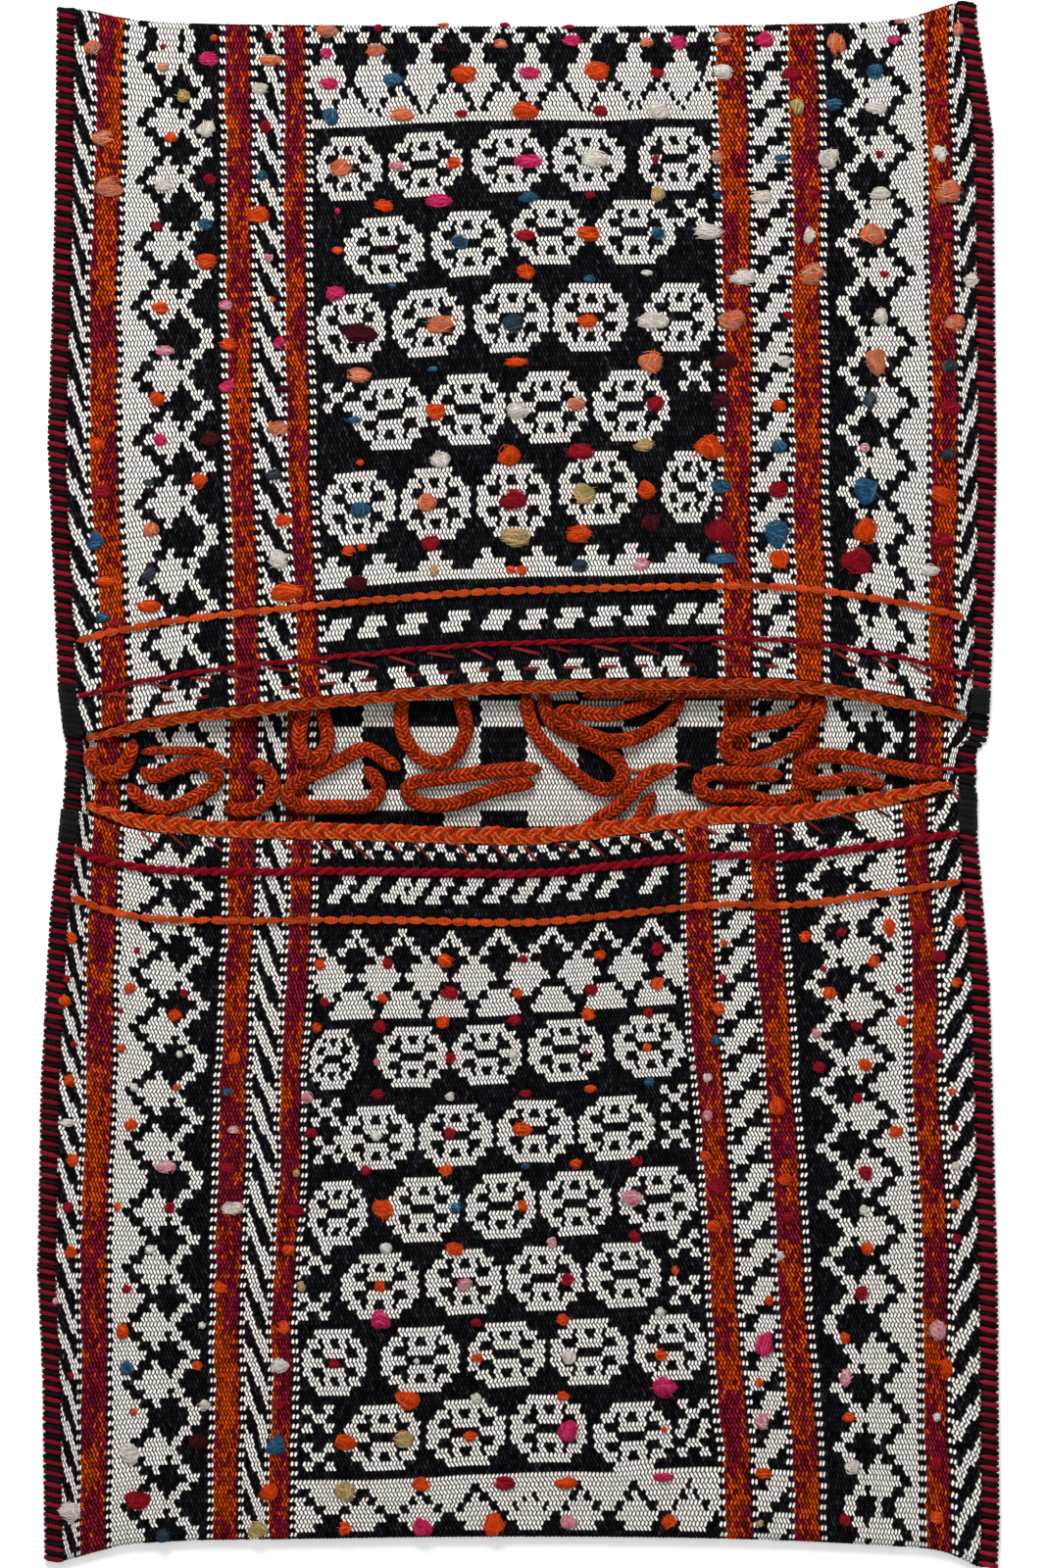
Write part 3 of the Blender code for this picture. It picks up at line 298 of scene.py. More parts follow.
# Wool tufts in the view: (x, y, width, height, yarn)
UPPER_TUFTS = (
    (95, 50, 16, 14, "P"), (167, 49, 5, 6, "C"), (167, 70, 12, 10, "P"), (188, 99, 14, 13, "V"),
    (214, 62, 20, 14, "H"), (219, 40, 8, 6, "O"), (275, 38, 7, 8, "C"), (276, 63, 22, 12, "P"),
    (266, 92, 16, 12, "W"), (271, 131, 12, 12, "C"), (268, 181, 11, 11, "B"),
    (105, 142, 22, 16, "P"), (112, 193, 27, 21, "P"), (175, 142, 13, 11, "O"),
    (168, 190, 21, 14, "W"), (211, 133, 18, 17, "W"), (215, 184, 12, 10, "C"),
    (106, 57, 9, 8, "C"), (264, 221, 22, 18, "O"), (334, 33, 22, 13, "P"), (386, 30, 8, 8, "C"),
    (452, 27, 12, 4, "O"), (515, 27, 10, 5, "C"), (333, 56, 13, 11, "H"), (336, 87, 19, 12, "H"),
    (384, 53, 20, 13, "P"), (401, 83, 19, 13, "B"), (452, 51, 7, 6, "M"), (473, 77, 25, 19, "O"),
    (511, 47, 12, 10, "P"), (540, 76, 22, 13, "H"), (338, 121, 17, 17, "B"),
    (411, 119, 24, 14, "P"), (471, 118, 12, 9, "C"), (535, 115, 28, 18, "O"),
    (348, 173, 24, 17, "P"), (405, 171, 14, 11, "K"), (463, 168, 14, 12, "O"),
    (539, 166, 27, 15, "H"), (392, 212, 19, 13, "O"), (448, 207, 26, 16, "H"),
    (345, 217, 6, 6, "H"), (539, 203, 19, 12, "B"), (583, 43, 19, 11, "H"), (659, 45, 13, 10, "P"),
    (692, 45, 17, 15, "H"), (737, 41, 18, 13, "P"), (780, 42, 20, 15, "H"), (609, 75, 25, 21, "O"),
    (670, 76, 15, 10, "C"), (737, 75, 20, 14, "W"), (612, 115, 14, 12, "C"),
    (672, 115, 24, 16, "W"), (607, 164, 26, 19, "W"), (668, 164, 7, 9, "C"),
    (731, 162, 12, 12, "P"), (602, 201, 10, 8, "C"), (671, 200, 16, 15, "V"),
    (731, 201, 9, 7, "B"), (776, 202, 22, 13, "W"), (796, 163, 13, 8, "B"), (799, 79, 6, 6, "C"),
    (580, 29, 13, 4, "C"), (853, 46, 18, 22, "P"), (911, 42, 13, 10, "H"), (892, 75, 18, 15, "B"),
    (850, 108, 17, 12, "B"), (808, 76, 18, 15, "C"), (813, 110, 14, 16, "V"),
    (977, 31, 12, 15, "P"), (917, 23, 10, 5, "P"), (892, 112, 22, 12, "W"),
    (845, 163, 22, 20, "W"), (896, 159, 9, 8, "C"), (958, 158, 15, 17, "W"),
    (967, 197, 25, 25, "P"), (897, 199, 20, 13, "W"), (960, 106, 12, 10, "C"),
    (829, 200, 12, 10, "C"), (161, 232, 10, 10, "C"), (210, 230, 16, 12, "B"),
    (211, 268, 22, 16, "O"), (275, 265, 10, 9, "K"), (345, 257, 11, 8, "O"),
    (343, 301, 20, 15, "H"), (165, 315, 17, 12, "O"), (231, 313, 15, 9, "K"),
    (279, 307, 6, 6, "O"), (368, 342, 34, 20, "M"), (234, 353, 18, 12, "O"),
    (286, 351, 12, 12, "H"), (169, 359, 18, 11, "K"), (367, 384, 25, 14, "P"),
    (161, 408, 16, 14, "O"), (232, 396, 15, 11, "H"), (290, 398, 15, 9, "M"),
    (362, 430, 15, 7, "B"), (284, 438, 22, 16, "P"), (394, 254, 4, 4, "C"),
    (469, 249, 18, 14, "B"), (536, 242, 20, 12, "C"), (536, 279, 18, 15, "O"),
    (600, 240, 24, 16, "O"), (601, 286, 12, 7, "B"), (400, 293, 8, 6, "B"),
    (671, 240, 15, 12, "B"), (659, 280, 12, 6, "W"), (449, 333, 28, 18, "P"),
    (524, 331, 22, 18, "G"), (599, 329, 20, 15, "O"), (665, 329, 30, 18, "W"),
    (527, 371, 24, 9, "O"), (664, 371, 24, 24, "P"), (442, 378, 10, 5, "B"),
    (445, 421, 22, 17, "O"), (528, 420, 24, 16, "W"), (588, 413, 18, 14, "P"),
    (668, 413, 18, 15, "C"), (722, 238, 30, 16, "W"), (824, 242, 11, 16, "W"),
    (889, 240, 25, 22, "P"), (828, 281, 25, 21, "P"), (757, 285, 27, 15, "W"),
    (901, 281, 8, 7, "C"), (990, 287, 16, 14, "W"), (803, 324, 10, 10, "C"),
    (897, 324, 14, 16, "W"), (746, 328, 28, 21, "P"), (974, 330, 21, 17, "P"),
    (966, 242, 12, 8, "C"), (893, 370, 21, 28, "P"), (740, 371, 24, 17, "M"),
    (799, 370, 15, 12, "W"), (968, 375, 16, 14, "G"), (735, 410, 18, 16, "M"),
    (794, 415, 15, 12, "O"), (886, 409, 16, 16, "G"), (969, 416, 20, 16, "C"),
    (100, 455, 16, 14, "O"), (164, 450, 13, 12, "H"), (215, 449, 20, 15, "M"),
    (105, 502, 20, 14, "C"), (368, 473, 8, 6, "O"), (153, 493, 11, 8, "G"),
    (204, 491, 15, 15, "O"), (280, 486, 15, 12, "G"), (368, 521, 20, 18, "B"),
    (289, 532, 15, 14, "O"), (155, 541, 16, 16, "P"), (98, 553, 18, 19, "B"),
    (356, 563, 13, 11, "O"), (370, 559, 10, 8, "O"), (285, 572, 21, 18, "W"),
    (153, 587, 16, 14, "G"), (109, 594, 22, 10, "O"), (364, 595, 24, 16, "M"),
    (293, 605, 32, 20, "O"), (153, 619, 25, 13, "O"), (105, 630, 14, 10, "B"),
    (117, 637, 10, 7, "C"), (449, 470, 19, 18, "W"), (520, 466, 22, 21, "O"),
    (592, 462, 30, 15, "C"), (657, 455, 20, 13, "V"), (436, 514, 22, 18, "P"),
    (524, 512, 26, 21, "C"), (596, 505, 25, 21, "V"), (659, 501, 19, 18, "O"),
    (439, 555, 18, 18, "C"), (526, 549, 33, 19, "V"), (591, 546, 26, 18, "O"),
    (664, 535, 20, 18, "M"), (443, 583, 9, 12, "V"), (521, 582, 10, 8, "O"),
    (532, 583, 12, 10, "O"), (591, 578, 18, 13, "G"), (653, 576, 17, 13, "K"),
    (723, 457, 29, 24, "O"), (794, 457, 15, 14, "B"), (881, 458, 10, 10, "K"),
    (966, 464, 14, 12, "G"), (735, 497, 20, 15, "B"), (883, 501, 26, 26, "B"),
    (793, 501, 20, 18, "C"), (961, 506, 24, 20, "O"), (734, 543, 26, 28, "C"),
    (792, 545, 26, 28, "B"), (881, 542, 24, 25, "O"), (961, 552, 20, 14, "C"),
    (735, 571, 28, 12, "B"), (794, 572, 20, 20, "O"), (873, 573, 32, 28, "C"),
    (948, 583, 18, 12, "W"),
)
LOWER_TUFTS = (
    (74, 957, 12, 12, "O"), (69, 999, 8, 8, "C"), (67, 1021, 13, 12, "O"), (76, 1065, 7, 7, "C"),
    (71, 1102, 12, 12, "O"), (70, 1145, 14, 8, "W"), (75, 1183, 13, 14, "O"),
    (141, 969, 7, 7, "C"), (133, 1008, 12, 12, "O"), (124, 1031, 6, 6, "C"),
    (124, 1069, 9, 9, "O"), (138, 1109, 8, 8, "W"), (135, 1147, 13, 12, "O"),
    (188, 1013, 8, 8, "C"), (179, 1035, 14, 13, "O"), (184, 1075, 7, 7, "W"),
    (181, 1109, 7, 7, "O"), (170, 1189, 20, 14, "K"), (240, 1079, 12, 12, "O"),
    (233, 1113, 10, 8, "B"), (239, 1152, 12, 8, "K"), (233, 1191, 16, 10, "C"),
    (314, 1119, 12, 11, "K"), (318, 1155, 12, 11, "C"), (303, 1196, 6, 8, "V"),
    (70, 1231, 11, 12, "C"), (121, 1230, 8, 10, "O"), (174, 1232, 11, 11, "C"),
    (238, 1232, 21, 14, "W"), (302, 1234, 18, 11, "C"), (73, 1277, 12, 14, "O"),
    (154, 1274, 10, 9, "W"), (295, 1274, 14, 10, "O"), (223, 1274, 10, 7, "C"),
    (225, 1312, 14, 11, "O"), (308, 1311, 8, 11, "V"), (130, 1314, 9, 9, "C"),
    (57, 1327, 7, 7, "K"), (937, 946, 14, 14, "C"), (978, 940, 13, 13, "O"),
    (906, 946, 12, 20, "O"), (858, 951, 9, 9, "C"), (821, 955, 12, 12, "O"),
    (957, 976, 14, 14, "C"), (890, 981, 12, 12, "O"), (839, 988, 6, 6, "C"),
    (975, 1002, 11, 11, "O"), (916, 1009, 9, 9, "C"), (845, 1013, 14, 13, "O"),
    (919, 1042, 12, 12, "O"), (873, 1046, 10, 10, "C"), (832, 1054, 10, 10, "K"),
    (882, 1086, 14, 13, "O"), (835, 1088, 12, 12, "C"), (954, 1076, 15, 14, "C"),
    (874, 1120, 10, 11, "C"), (971, 1113, 8, 7, "O"), (721, 1137, 10, 11, "K"),
    (792, 1128, 16, 18, "O"), (913, 1154, 14, 14, "O"), (973, 1150, 6, 6, "C"),
    (719, 1179, 12, 11, "O"), (974, 1189, 10, 10, "W"), (882, 1196, 15, 15, "C"),
    (730, 1210, 20, 18, "C"), (800, 1202, 14, 12, "O"), (973, 1228, 9, 9, "O"),
    (880, 1234, 9, 11, "W"), (803, 1241, 12, 9, "C"), (727, 1250, 14, 12, "O"),
    (975, 1263, 9, 11, "C"), (884, 1273, 13, 14, "O"), (795, 1280, 8, 9, "W"),
    (784, 1326, 9, 10, "O"), (878, 1318, 15, 15, "C"), (327, 984, 11, 11, "O"),
    (396, 982, 11, 11, "C"), (454, 980, 16, 14, "O"), (332, 1022, 9, 9, "C"),
    (391, 1018, 10, 10, "O"), (459, 1013, 18, 14, "C"), (452, 1042, 14, 12, "O"),
    (388, 1047, 13, 12, "C"), (324, 1048, 10, 10, "O"), (524, 1040, 12, 12, "C"),
    (528, 1013, 10, 10, "O"), (385, 1082, 7, 7, "K"), (460, 1079, 11, 11, "C"),
    (523, 1075, 9, 9, "W"), (386, 1115, 13, 10, "C"), (459, 1118, 9, 8, "W"),
    (534, 978, 9, 9, "C"), (612, 974, 11, 11, "O"), (670, 968, 13, 13, "C"),
    (603, 1009, 13, 13, "C"), (670, 1003, 15, 14, "O"), (600, 1034, 14, 13, "O"),
    (661, 1033, 11, 11, "C"), (732, 1029, 14, 13, "O"), (736, 999, 10, 10, "C"),
    (738, 962, 8, 8, "O"), (660, 1068, 9, 9, "O"), (598, 1073, 4, 4, "C"),
    (730, 1061, 11, 11, "B"), (721, 1099, 9, 9, "W"), (706, 1089, 6, 6, "W"),
    (602, 1110, 12, 8, "O"), (536, 1115, 11, 9, "C"), (662, 1103, 11, 11, "B"),
    (664, 1143, 8, 8, "W"), (384, 1158, 11, 10, "W"), (459, 1155, 12, 11, "C"),
    (533, 1151, 20, 14, "O"), (536, 1189, 8, 6, "B"), (587, 1186, 12, 10, "O"),
    (649, 1184, 12, 11, "C"), (374, 1193, 10, 10, "C"), (455, 1193, 14, 13, "O"),
    (391, 1233, 20, 23, "O"), (465, 1231, 12, 12, "B"), (533, 1229, 11, 11, "O"),
    (644, 1221, 20, 18, "K"), (563, 1267, 11, 10, "K"), (647, 1261, 11, 12, "C"),
    (394, 1272, 12, 11, "W"), (464, 1273, 19, 14, "O"), (688, 1295, 8, 9, "O"),
    (579, 1304, 14, 12, "C"), (474, 1309, 14, 14, "K"), (388, 1311, 12, 11, "O"),
    (389, 1345, 20, 21, "H"), (673, 1337, 10, 9, "W"), (486, 1348, 11, 8, "C"),
    (574, 1345, 13, 11, "O"), (126, 1357, 12, 17, "O"), (207, 1351, 8, 7, "W"),
    (290, 1353, 14, 13, "O"), (130, 1395, 13, 16, "B"), (202, 1392, 10, 11, "O"),
    (73, 1403, 7, 7, "C"), (341, 1390, 10, 10, "C"), (286, 1392, 18, 15, "W"),
    (210, 1432, 12, 10, "W"), (137, 1440, 7, 8, "O"), (285, 1432, 12, 8, "C"),
    (353, 1470, 22, 17, "O"), (282, 1474, 20, 20, "B"), (202, 1470, 18, 16, "M"),
    (133, 1482, 20, 20, "W"), (352, 1520, 22, 20, "V"), (141, 1529, 26, 21, "C"),
    (275, 1521, 18, 18, "O"), (72, 1541, 22, 20, "W"), (264, 1560, 20, 16, "V"),
    (167, 1566, 14, 12, "G"), (352, 1558, 14, 13, "O"), (425, 1387, 6, 6, "W"),
    (487, 1384, 11, 10, "O"), (580, 1383, 16, 14, "W"), (674, 1381, 12, 12, "O"),
    (416, 1427, 25, 21, "O"), (486, 1425, 10, 11, "W"), (574, 1423, 12, 10, "O"),
    (677, 1414, 24, 20, "H"), (412, 1467, 19, 18, "V"), (480, 1464, 13, 12, "O"),
    (579, 1459, 22, 22, "H"), (677, 1457, 6, 6, "O"), (430, 1513, 18, 14, "O"),
    (515, 1512, 22, 14, "C"), (577, 1512, 22, 13, "O"), (676, 1506, 20, 10, "H"),
    (431, 1557, 20, 20, "H"), (504, 1554, 23, 24, "O"), (580, 1552, 17, 15, "K"),
    (682, 1551, 16, 14, "O"), (956, 1356, 17, 20, "K"), (861, 1364, 11, 12, "O"),
    (779, 1371, 21, 26, "H"), (965, 1395, 12, 20, "O"), (862, 1404, 13, 18, "K"),
    (774, 1409, 9, 9, "O"), (865, 1445, 13, 10, "O"), (955, 1445, 8, 9, "W"),
    (777, 1449, 14, 16, "K"), (955, 1492, 11, 14, "C"), (869, 1495, 15, 14, "W"),
    (778, 1502, 16, 12, "O"), (955, 1548, 15, 13, "O"), (861, 1550, 11, 12, "C"),
    (775, 1553, 8, 7, "V"),
)
TUFT_YARNS = {
    "O": ("#EE5010", "#E2470C", "#F2682A", "#D03C08"),
    "P": ("#F08A5C", "#EE7038", "#F2A583", "#9A8E90", "#E8652A"),
    "H": ("#DE2F6B", "#C81C55", "#E8487E"),
    "K": ("#EDB4BC", "#E88A9E", "#F0CCD0", "#DE6C86"),
    "B": ("#33688A", "#1F4A68", "#4E86A6", "#274058"),
    "W": ("#EDE8DC", "#DAD4C6", "#F4F1EA"),
    "C": ("#A01226", "#8A0C1E", "#B01A2C"),
    "V": ("#C9B57A", "#E0A070", "#B0A058", "#D8C28C"),
    "M": ("#4A1219", "#5E1620", "#360C12"),
    "G": ("#3A4450", "#5A6068", "#27303A", "#2C5068"),
}

# Yarn colours
COLOURS = {
    "white": "#F4F2EC",
    "black": "#131317",
    "rust": "#BC430D",
    "wine": "#7C162B",
    "braid": "#E03A10",
    "mouth": "#C44C1B",
    "chain": "#B9461C",
    "crimson": "#84101F",
    "tan": "#BC5F30",
    # ember: a darker yarn among the mouth braids' strands, and painted shade on the base cord under the upper lip
    "ember": "#8E2A0E",
    "hem": "#7E2A26",
    "wrap": "#80192A",
    "soot": "#161212",
    "felt": "#1B1B1D",
}


def linear(code):
    """Linear colour of a display colour code."""
    parts = np.array([int(code[i : i + 2], 16) for i in (1, 3, 5)]) / 255
    return np.where(parts <= 0.04045, parts / 12.92, ((parts + 0.055) / 1.055) ** 2.4)


PAINT = {name: linear(code) for name, code in COLOURS.items()}


def across(view_x):
    return (np.asarray(view_x, float) - VIEW_MIDDLE_X) * VIEW_SCALE


def along(view_y):
    return (VIEW_MIDDLE_Y - np.asarray(view_y, float)) * VIEW_SCALE


def curve_value(knots, place):
    """Smooth curve through (place, value) knots, going on straight past both ends."""
    spots, values = np.array(knots, float).T
    place = np.asarray(place, float)
    slopes = np.empty_like(values)
    slopes[1:-1] = (values[2:] - values[:-2]) / (spots[2:] - spots[:-2])
    slopes[0] = (values[1] - values[0]) / (spots[1] - spots[0])
    slopes[-1] = (values[-1] - values[-2]) / (spots[-1] - spots[-2])
    i = np.clip(np.searchsorted(spots, place, side="right") - 1, 0, len(spots) - 2)
    span = spots[i + 1] - spots[i]
    t = (place - spots[i]) / span
    inside = (
        values[i] * (1 + 2 * t) * (1 - t) ** 2
        + values[i + 1] * t * t * (3 - 2 * t)
        + span * (slopes[i] * t * (1 - t) ** 2 + slopes[i + 1] * t * t * (t - 1))
    )
    below = values[0] + (place - spots[0]) * slopes[0]
    above = values[-1] + (place - spots[-1]) * slopes[-1]
    return np.where(place <= spots[0], below, np.where(place >= spots[-1], above, inside))


def straight_value(knots, place):
    spots, values = np.array(knots, float).T
    return np.interp(place, spots, values)


def outer_edge(side, y):
    """X of the bag's outline at y; side is -1 for left and 1 for right."""
    insets = LEFT_INSETS if side < 0 else RIGHT_INSETS
    return side * (BAG_WIDTH / 2 - straight_value(insets[::-1], y))


def cloth_edge(side, y):
    return outer_edge(side, y) - side * (BINDING_WIDTH + CLEARANCE)


def resample(line, spacing):
    """Evenly spaced points along a line of points."""
    steps = np.linalg.norm(np.diff(line, axis=0), axis=1)
    reach = np.concatenate([[0.0], np.cumsum(steps)])
    count = max(3, round(reach[-1] / spacing) + 1)
    wanted = np.linspace(0, reach[-1], count)
    return np.stack([np.interp(wanted, reach, line[:, i]) for i in range(3)], axis=1)


def smooth_path(points, spacing):
    """Evenly spaced points on a smooth curve through the given ones."""
    points = np.asarray(points, float)
    padded = np.vstack([2 * points[0] - points[1], points, 2 * points[-1] - points[-2]])
    t = np.linspace(0, 1, 12, endpoint=False)[:, None]
    parts = []
    for p0, p1, p2, p3 in zip(padded, padded[1:], padded[2:], padded[3:]):
        bend = (2 * p0 - 5 * p1 + 4 * p2 - p3) * t**2 + (3 * p1 - p0 - 3 * p2 + p3) * t**3
        parts.append(0.5 * (2 * p1 + (p2 - p0) * t + bend))
    return resample(np.vstack([*parts, points[-1:]]), spacing)


def swell(x, y, seed, shortest, longest, waves=9):
    """Gentle unevenness, about -1 to 1, made of waves across the cloth."""
    rng = np.random.default_rng(seed)
    total = 0.0
    for _ in range(waves):
        length = rng.uniform(shortest, longest)
        angle, start = rng.uniform(0, 2 * math.pi, 2)
        total = total + np.sin(2 * math.pi * (x * math.cos(angle) + y * math.sin(angle)) / length + start)
    return total / math.sqrt(waves)


class Pocket:
    """One pocket's front: its mouth, its folded end and the woven cloth between them."""

    def __init__(self, end, braid_view, braid_radius, sag, stripes, warps, rows, pitch, droop):
        self.end = end
        self.braid_knots = [(across(x), along(y)) for x, y in braid_view]
        self.braid_radius = braid_radius
        self.sag = sag
        self.stripes = stripes
        self.warps = np.concatenate([[0], np.cumsum(warps)])
        self.rows = rows
        self.droop = np.array(droop, float)
        depths = np.linspace(0, 1, 201)
        steps = 1 / straight_value(pitch, (depths[1:] + depths[:-1]) / 2)
        self.depth_table = depths
        self.row_table = np.concatenate([[0], np.cumsum(steps)]) * rows / steps.sum()
        self.corners = {side: self.meeting(side, self.mouth) for side in (-1, 1)}
        self.fold_corners = {side: self.meeting(side, self.fold) for side in (-1, 1)}

    def braid(self, x):
        return curve_value(self.braid_knots, x)

    def mouth(self, x):
        return self.braid(x) + self.end * (self.braid_radius + BRAID_SEAT)

    def meeting(self, side, line):
        """Y where a line across the cloth meets the cloth's side edge."""
        y = float(line(side * BAG_WIDTH / 2))
        for _ in range(40):
            y = float(line(cloth_edge(side, y)))
        return y

    def end_line(self, x):
        place = np.clip(x / (BAG_WIDTH / 2), self.sag[0][0], self.sag[-1][0])
        return self.end * (BAG_LENGTH / 2 - curve_value(self.sag, place))

    def bulge(self, x, y, middle):
        place = np.minimum(1.0, np.abs(x) / np.abs(cloth_edge_at(x, y)))
        return SIDE_HOLLOW + (middle - SIDE_HOLLOW) * (1 - place**4)

    def fold_hollow(self, x):
        return self.bulge(x, self.end_line(x), FOLD_HOLLOW)

    def fold(self, x):
        return self.end_line(x) - self.end * (CLOTH + self.fold_hollow(x) / 2)

    def hollow(self, x, y):
        profile = (
            (0.0, MOUTH_HOLLOW),
            (0.22, BELLY_HOLLOW),
            (0.60, DEEP_HOLLOW),
            (0.88, (DEEP_HOLLOW + FOLD_HOLLOW) / 2),
            (1.0, FOLD_HOLLOW),
        )
        mouth = self.mouth(x)
        depth = np.clip((y - mouth) / (self.fold(x) - mouth), 0, 1)
        return self.bulge(x, y, curve_value(profile, depth))

    def inner_z(self, x, y):
        return CLOTH + self.hollow(x, y)

    def outer_z(self, x, y):
        return 2 * CLOTH + self.hollow(x, y)

    def depth(self, row):
        return np.interp(row, self.row_table, self.depth_table)

    def sink(self, x, depth):
        """How far the rows droop towards the bottom of the view, in metres."""
        knots = across(self.droop[:, 0])
        quarter = np.interp(x, knots, self.droop[:, 1])
        near = np.interp(x, knots, self.droop[:, 2])
        rise = np.clip(depth / 0.25, 0, 1) * quarter
        later = np.clip((depth - 0.25) / 0.65, 0, 1)
        fall = np.clip((1 - depth) / 0.1, 0, 1)
        return -VIEW_SCALE * (rise + later * (near - rise)) * fall

    def spots(self, depth):
        """X of each zone's edge at a depth, left to right."""
        edges = []
        for side in (-1, 1):
            y = self.corners[side] + depth * (self.fold_corners[side] - self.corners[side])
            edges.append(float(cloth_edge(side, y)))
        inner = []
        for width, (near, middle, far) in self.stripes:
            x = across(curve_value(((0.0, near), (0.5, middle), (1.0, far)), depth))
            half = width * VIEW_SCALE / 2
            inner += [float(x) - half, float(x) + half]
        return [edges[0], *inner, edges[1]]

    def place(self, u, row):
        """Points, and outward directions, at warps u (an array) of one line of rows (an array)."""
        over = np.maximum(row - self.rows, 0)
        depth = self.depth(np.minimum(row, self.rows))
        x = np.interp(u, self.warps, self.spots(float(np.mean(depth))))
        mouth = self.mouth(x)
        y = mouth + depth * (self.fold(x) - mouth) + self.sink(x, depth)
        z = self.outer_z(x, y)
        room = np.minimum(x - cloth_edge(-1, y), cloth_edge(1, y) - x)
        free = np.clip(room / 0.012, 0, 1) * np.clip((1 - depth) / 0.06, 0, 1)
        held = np.clip(depth / 0.03, 0, 1) * np.clip((1 - depth) / 0.05, 0, 1)
        x = x + free * (0.00045 * swell(x, y, 1, 0.02, 0.06) + 0.0007 * swell(x, y, 2, 0.07, 0.2))
        z = z + held * np.clip(room / 0.004, 0, 1) * 0.00022 * swell(x, y, 4, 0.015, 0.05)
        y = y + held * (0.0003 * swell(x, y, 3, 0.02, 0.06) + 0.0004 * swell(x, y, 5, 0.07, 0.2))
        last = (1 - self.depth(self.rows - 1)) * np.abs(self.fold(x) - mouth)
        ring = CLOTH + self.fold_hollow(x) / 2
        angle = np.minimum(over * last / ring, math.pi)
        out, up = np.sin(angle), np.cos(angle)
        y = y + self.end * ring * out
        z = np.where(over > 0, np.maximum(ring * (1 + up), 0.0006), z)
        normal = np.stack([np.zeros_like(x), self.end * out, up], axis=-1)
        return np.stack([x, y, z], axis=-1), normal

    @functools.cache
    def find(self, view_x, view_y):
        """(warp, row) under a place in the view."""
        x, y = float(across(view_x)), float(along(view_y))
        mouth, fold = float(self.mouth(x)), float(self.fold(x))
        depth = (y - mouth) / (fold - mouth)
        for _ in range(4):
            depth = (y - float(self.sink(x, depth)) - mouth) / (fold - mouth)
        row = float(np.interp(depth, self.depth_table, self.row_table))
        return float(np.interp(x, self.spots(depth), self.warps)), row

    def warp(self, view_x, view_y):
        return self.find(view_x, view_y)[0]

    def level(self, view_x, view_y):
        """Pair of rows under a place in the view."""
        return int(self.find(view_x, view_y)[1] // 2)


def cloth_edge_at(x, y):
    return np.where(np.asarray(x) < 0, cloth_edge(-1, y), cloth_edge(1, y))


UPPER = Pocket(
    1, UPPER_MOUTH_VIEW, UPPER_BRAID_RADIUS, TOP_SAG, UPPER_STRIPES, UPPER_WARPS, UPPER_ROWS,
    UPPER_PITCH, UPPER_DROOP,
)
LOWER = Pocket(
    -1, LOWER_MOUTH_VIEW, LOWER_BRAID_RADIUS, BOTTOM_SAG, LOWER_STRIPES, LOWER_WARPS, LOWER_ROWS,
    LOWER_PITCH, LOWER_DROOP,
)


# Meshes

def new_mesh(name, points, faces, material, **layers):
    """An object of equal-sided faces. layers: name=(type, domain, values) for each attribute."""
    mesh = bpy.data.meshes.new(name)
    count, size = faces.shape
    mesh.vertices.add(len(points))
    mesh.vertices.foreach_set("co", np.ascontiguousarray(points, dtype=np.float32).ravel())
    mesh.loops.add(count * size)
    mesh.loops.foreach_set("vertex_index", np.ascontiguousarray(faces, dtype=np.int32).ravel())
    mesh.polygons.add(count)
    mesh.polygons.foreach_set("loop_start", np.arange(0, count * size, size, dtype=np.int32))
    mesh.update(calc_edges=True)
    mesh.shade_smooth()
    for label, (kind, domain, values) in layers.items():
        layer = mesh.attributes.new(label, kind, domain)
        field = "vector" if kind == "FLOAT_VECTOR" else "color"
        values = np.asarray(values, dtype=np.float32)
        if kind == "FLOAT_COLOR" and values.shape[-1] == 3:
            values = np.concatenate([values, np.ones((*values.shape[:-1], 1), np.float32)], axis=-1)
        layer.data.foreach_set(field, np.ascontiguousarray(values).ravel())
    mesh.materials.append(material)
    made = bpy.data.objects.new(name, mesh)
    bpy.context.scene.collection.objects.link(made)
    return made


def dress(piece, slot, *nodes):
    """Hides a piece's CAD nodes, so that the piece stands in for them, and hangs the piece on the root body."""
    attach(piece, "root")
    if nodes:
        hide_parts(*nodes)
    return piece


def tube_points(paths, radii, sides, up=(0.0, 0.0, 1.0), squash=1.0):
    """Rings round many paths of the same number of points: (paths, points, sides, 3)."""
    paths = np.asarray(paths, float)
    ahead = np.gradient(paths, axis=1)
    ahead /= np.linalg.norm(ahead, axis=-1, keepdims=True) + 1e-12
    side = np.cross(ahead, np.array(up))
    side /= np.linalg.norm(side, axis=-1, keepdims=True) + 1e-12
    high = np.cross(side, ahead)
    angle = 2 * math.pi * np.arange(sides) / sides + math.pi / 2
    ring = (
        np.cos(angle)[None, None, :, None] * side[:, :, None, :]
        + squash * np.sin(angle)[None, None, :, None] * high[:, :, None, :]
    )
    radii = np.broadcast_to(np.asarray(radii, float), (*paths.shape[:2],))
    if np.ndim(radii) == 2:
        radii = radii[:, :, None]
    return paths[:, :, None, :] + radii[..., None] * ring


def tube_faces(count, length, sides):
    """Quads of count tubes of length rings."""
    tube = np.arange(count)[:, None, None] * length * sides
    ring = np.arange(length - 1)[None, :, None] * sides
    k = np.arange(sides)[None, None, :]
    n = (k + 1) % sides
    base = tube + ring
    quads = np.stack([base + k, base + n, base + sides + n, base + sides + k], axis=-1)
    return quads.reshape(-1, 4)


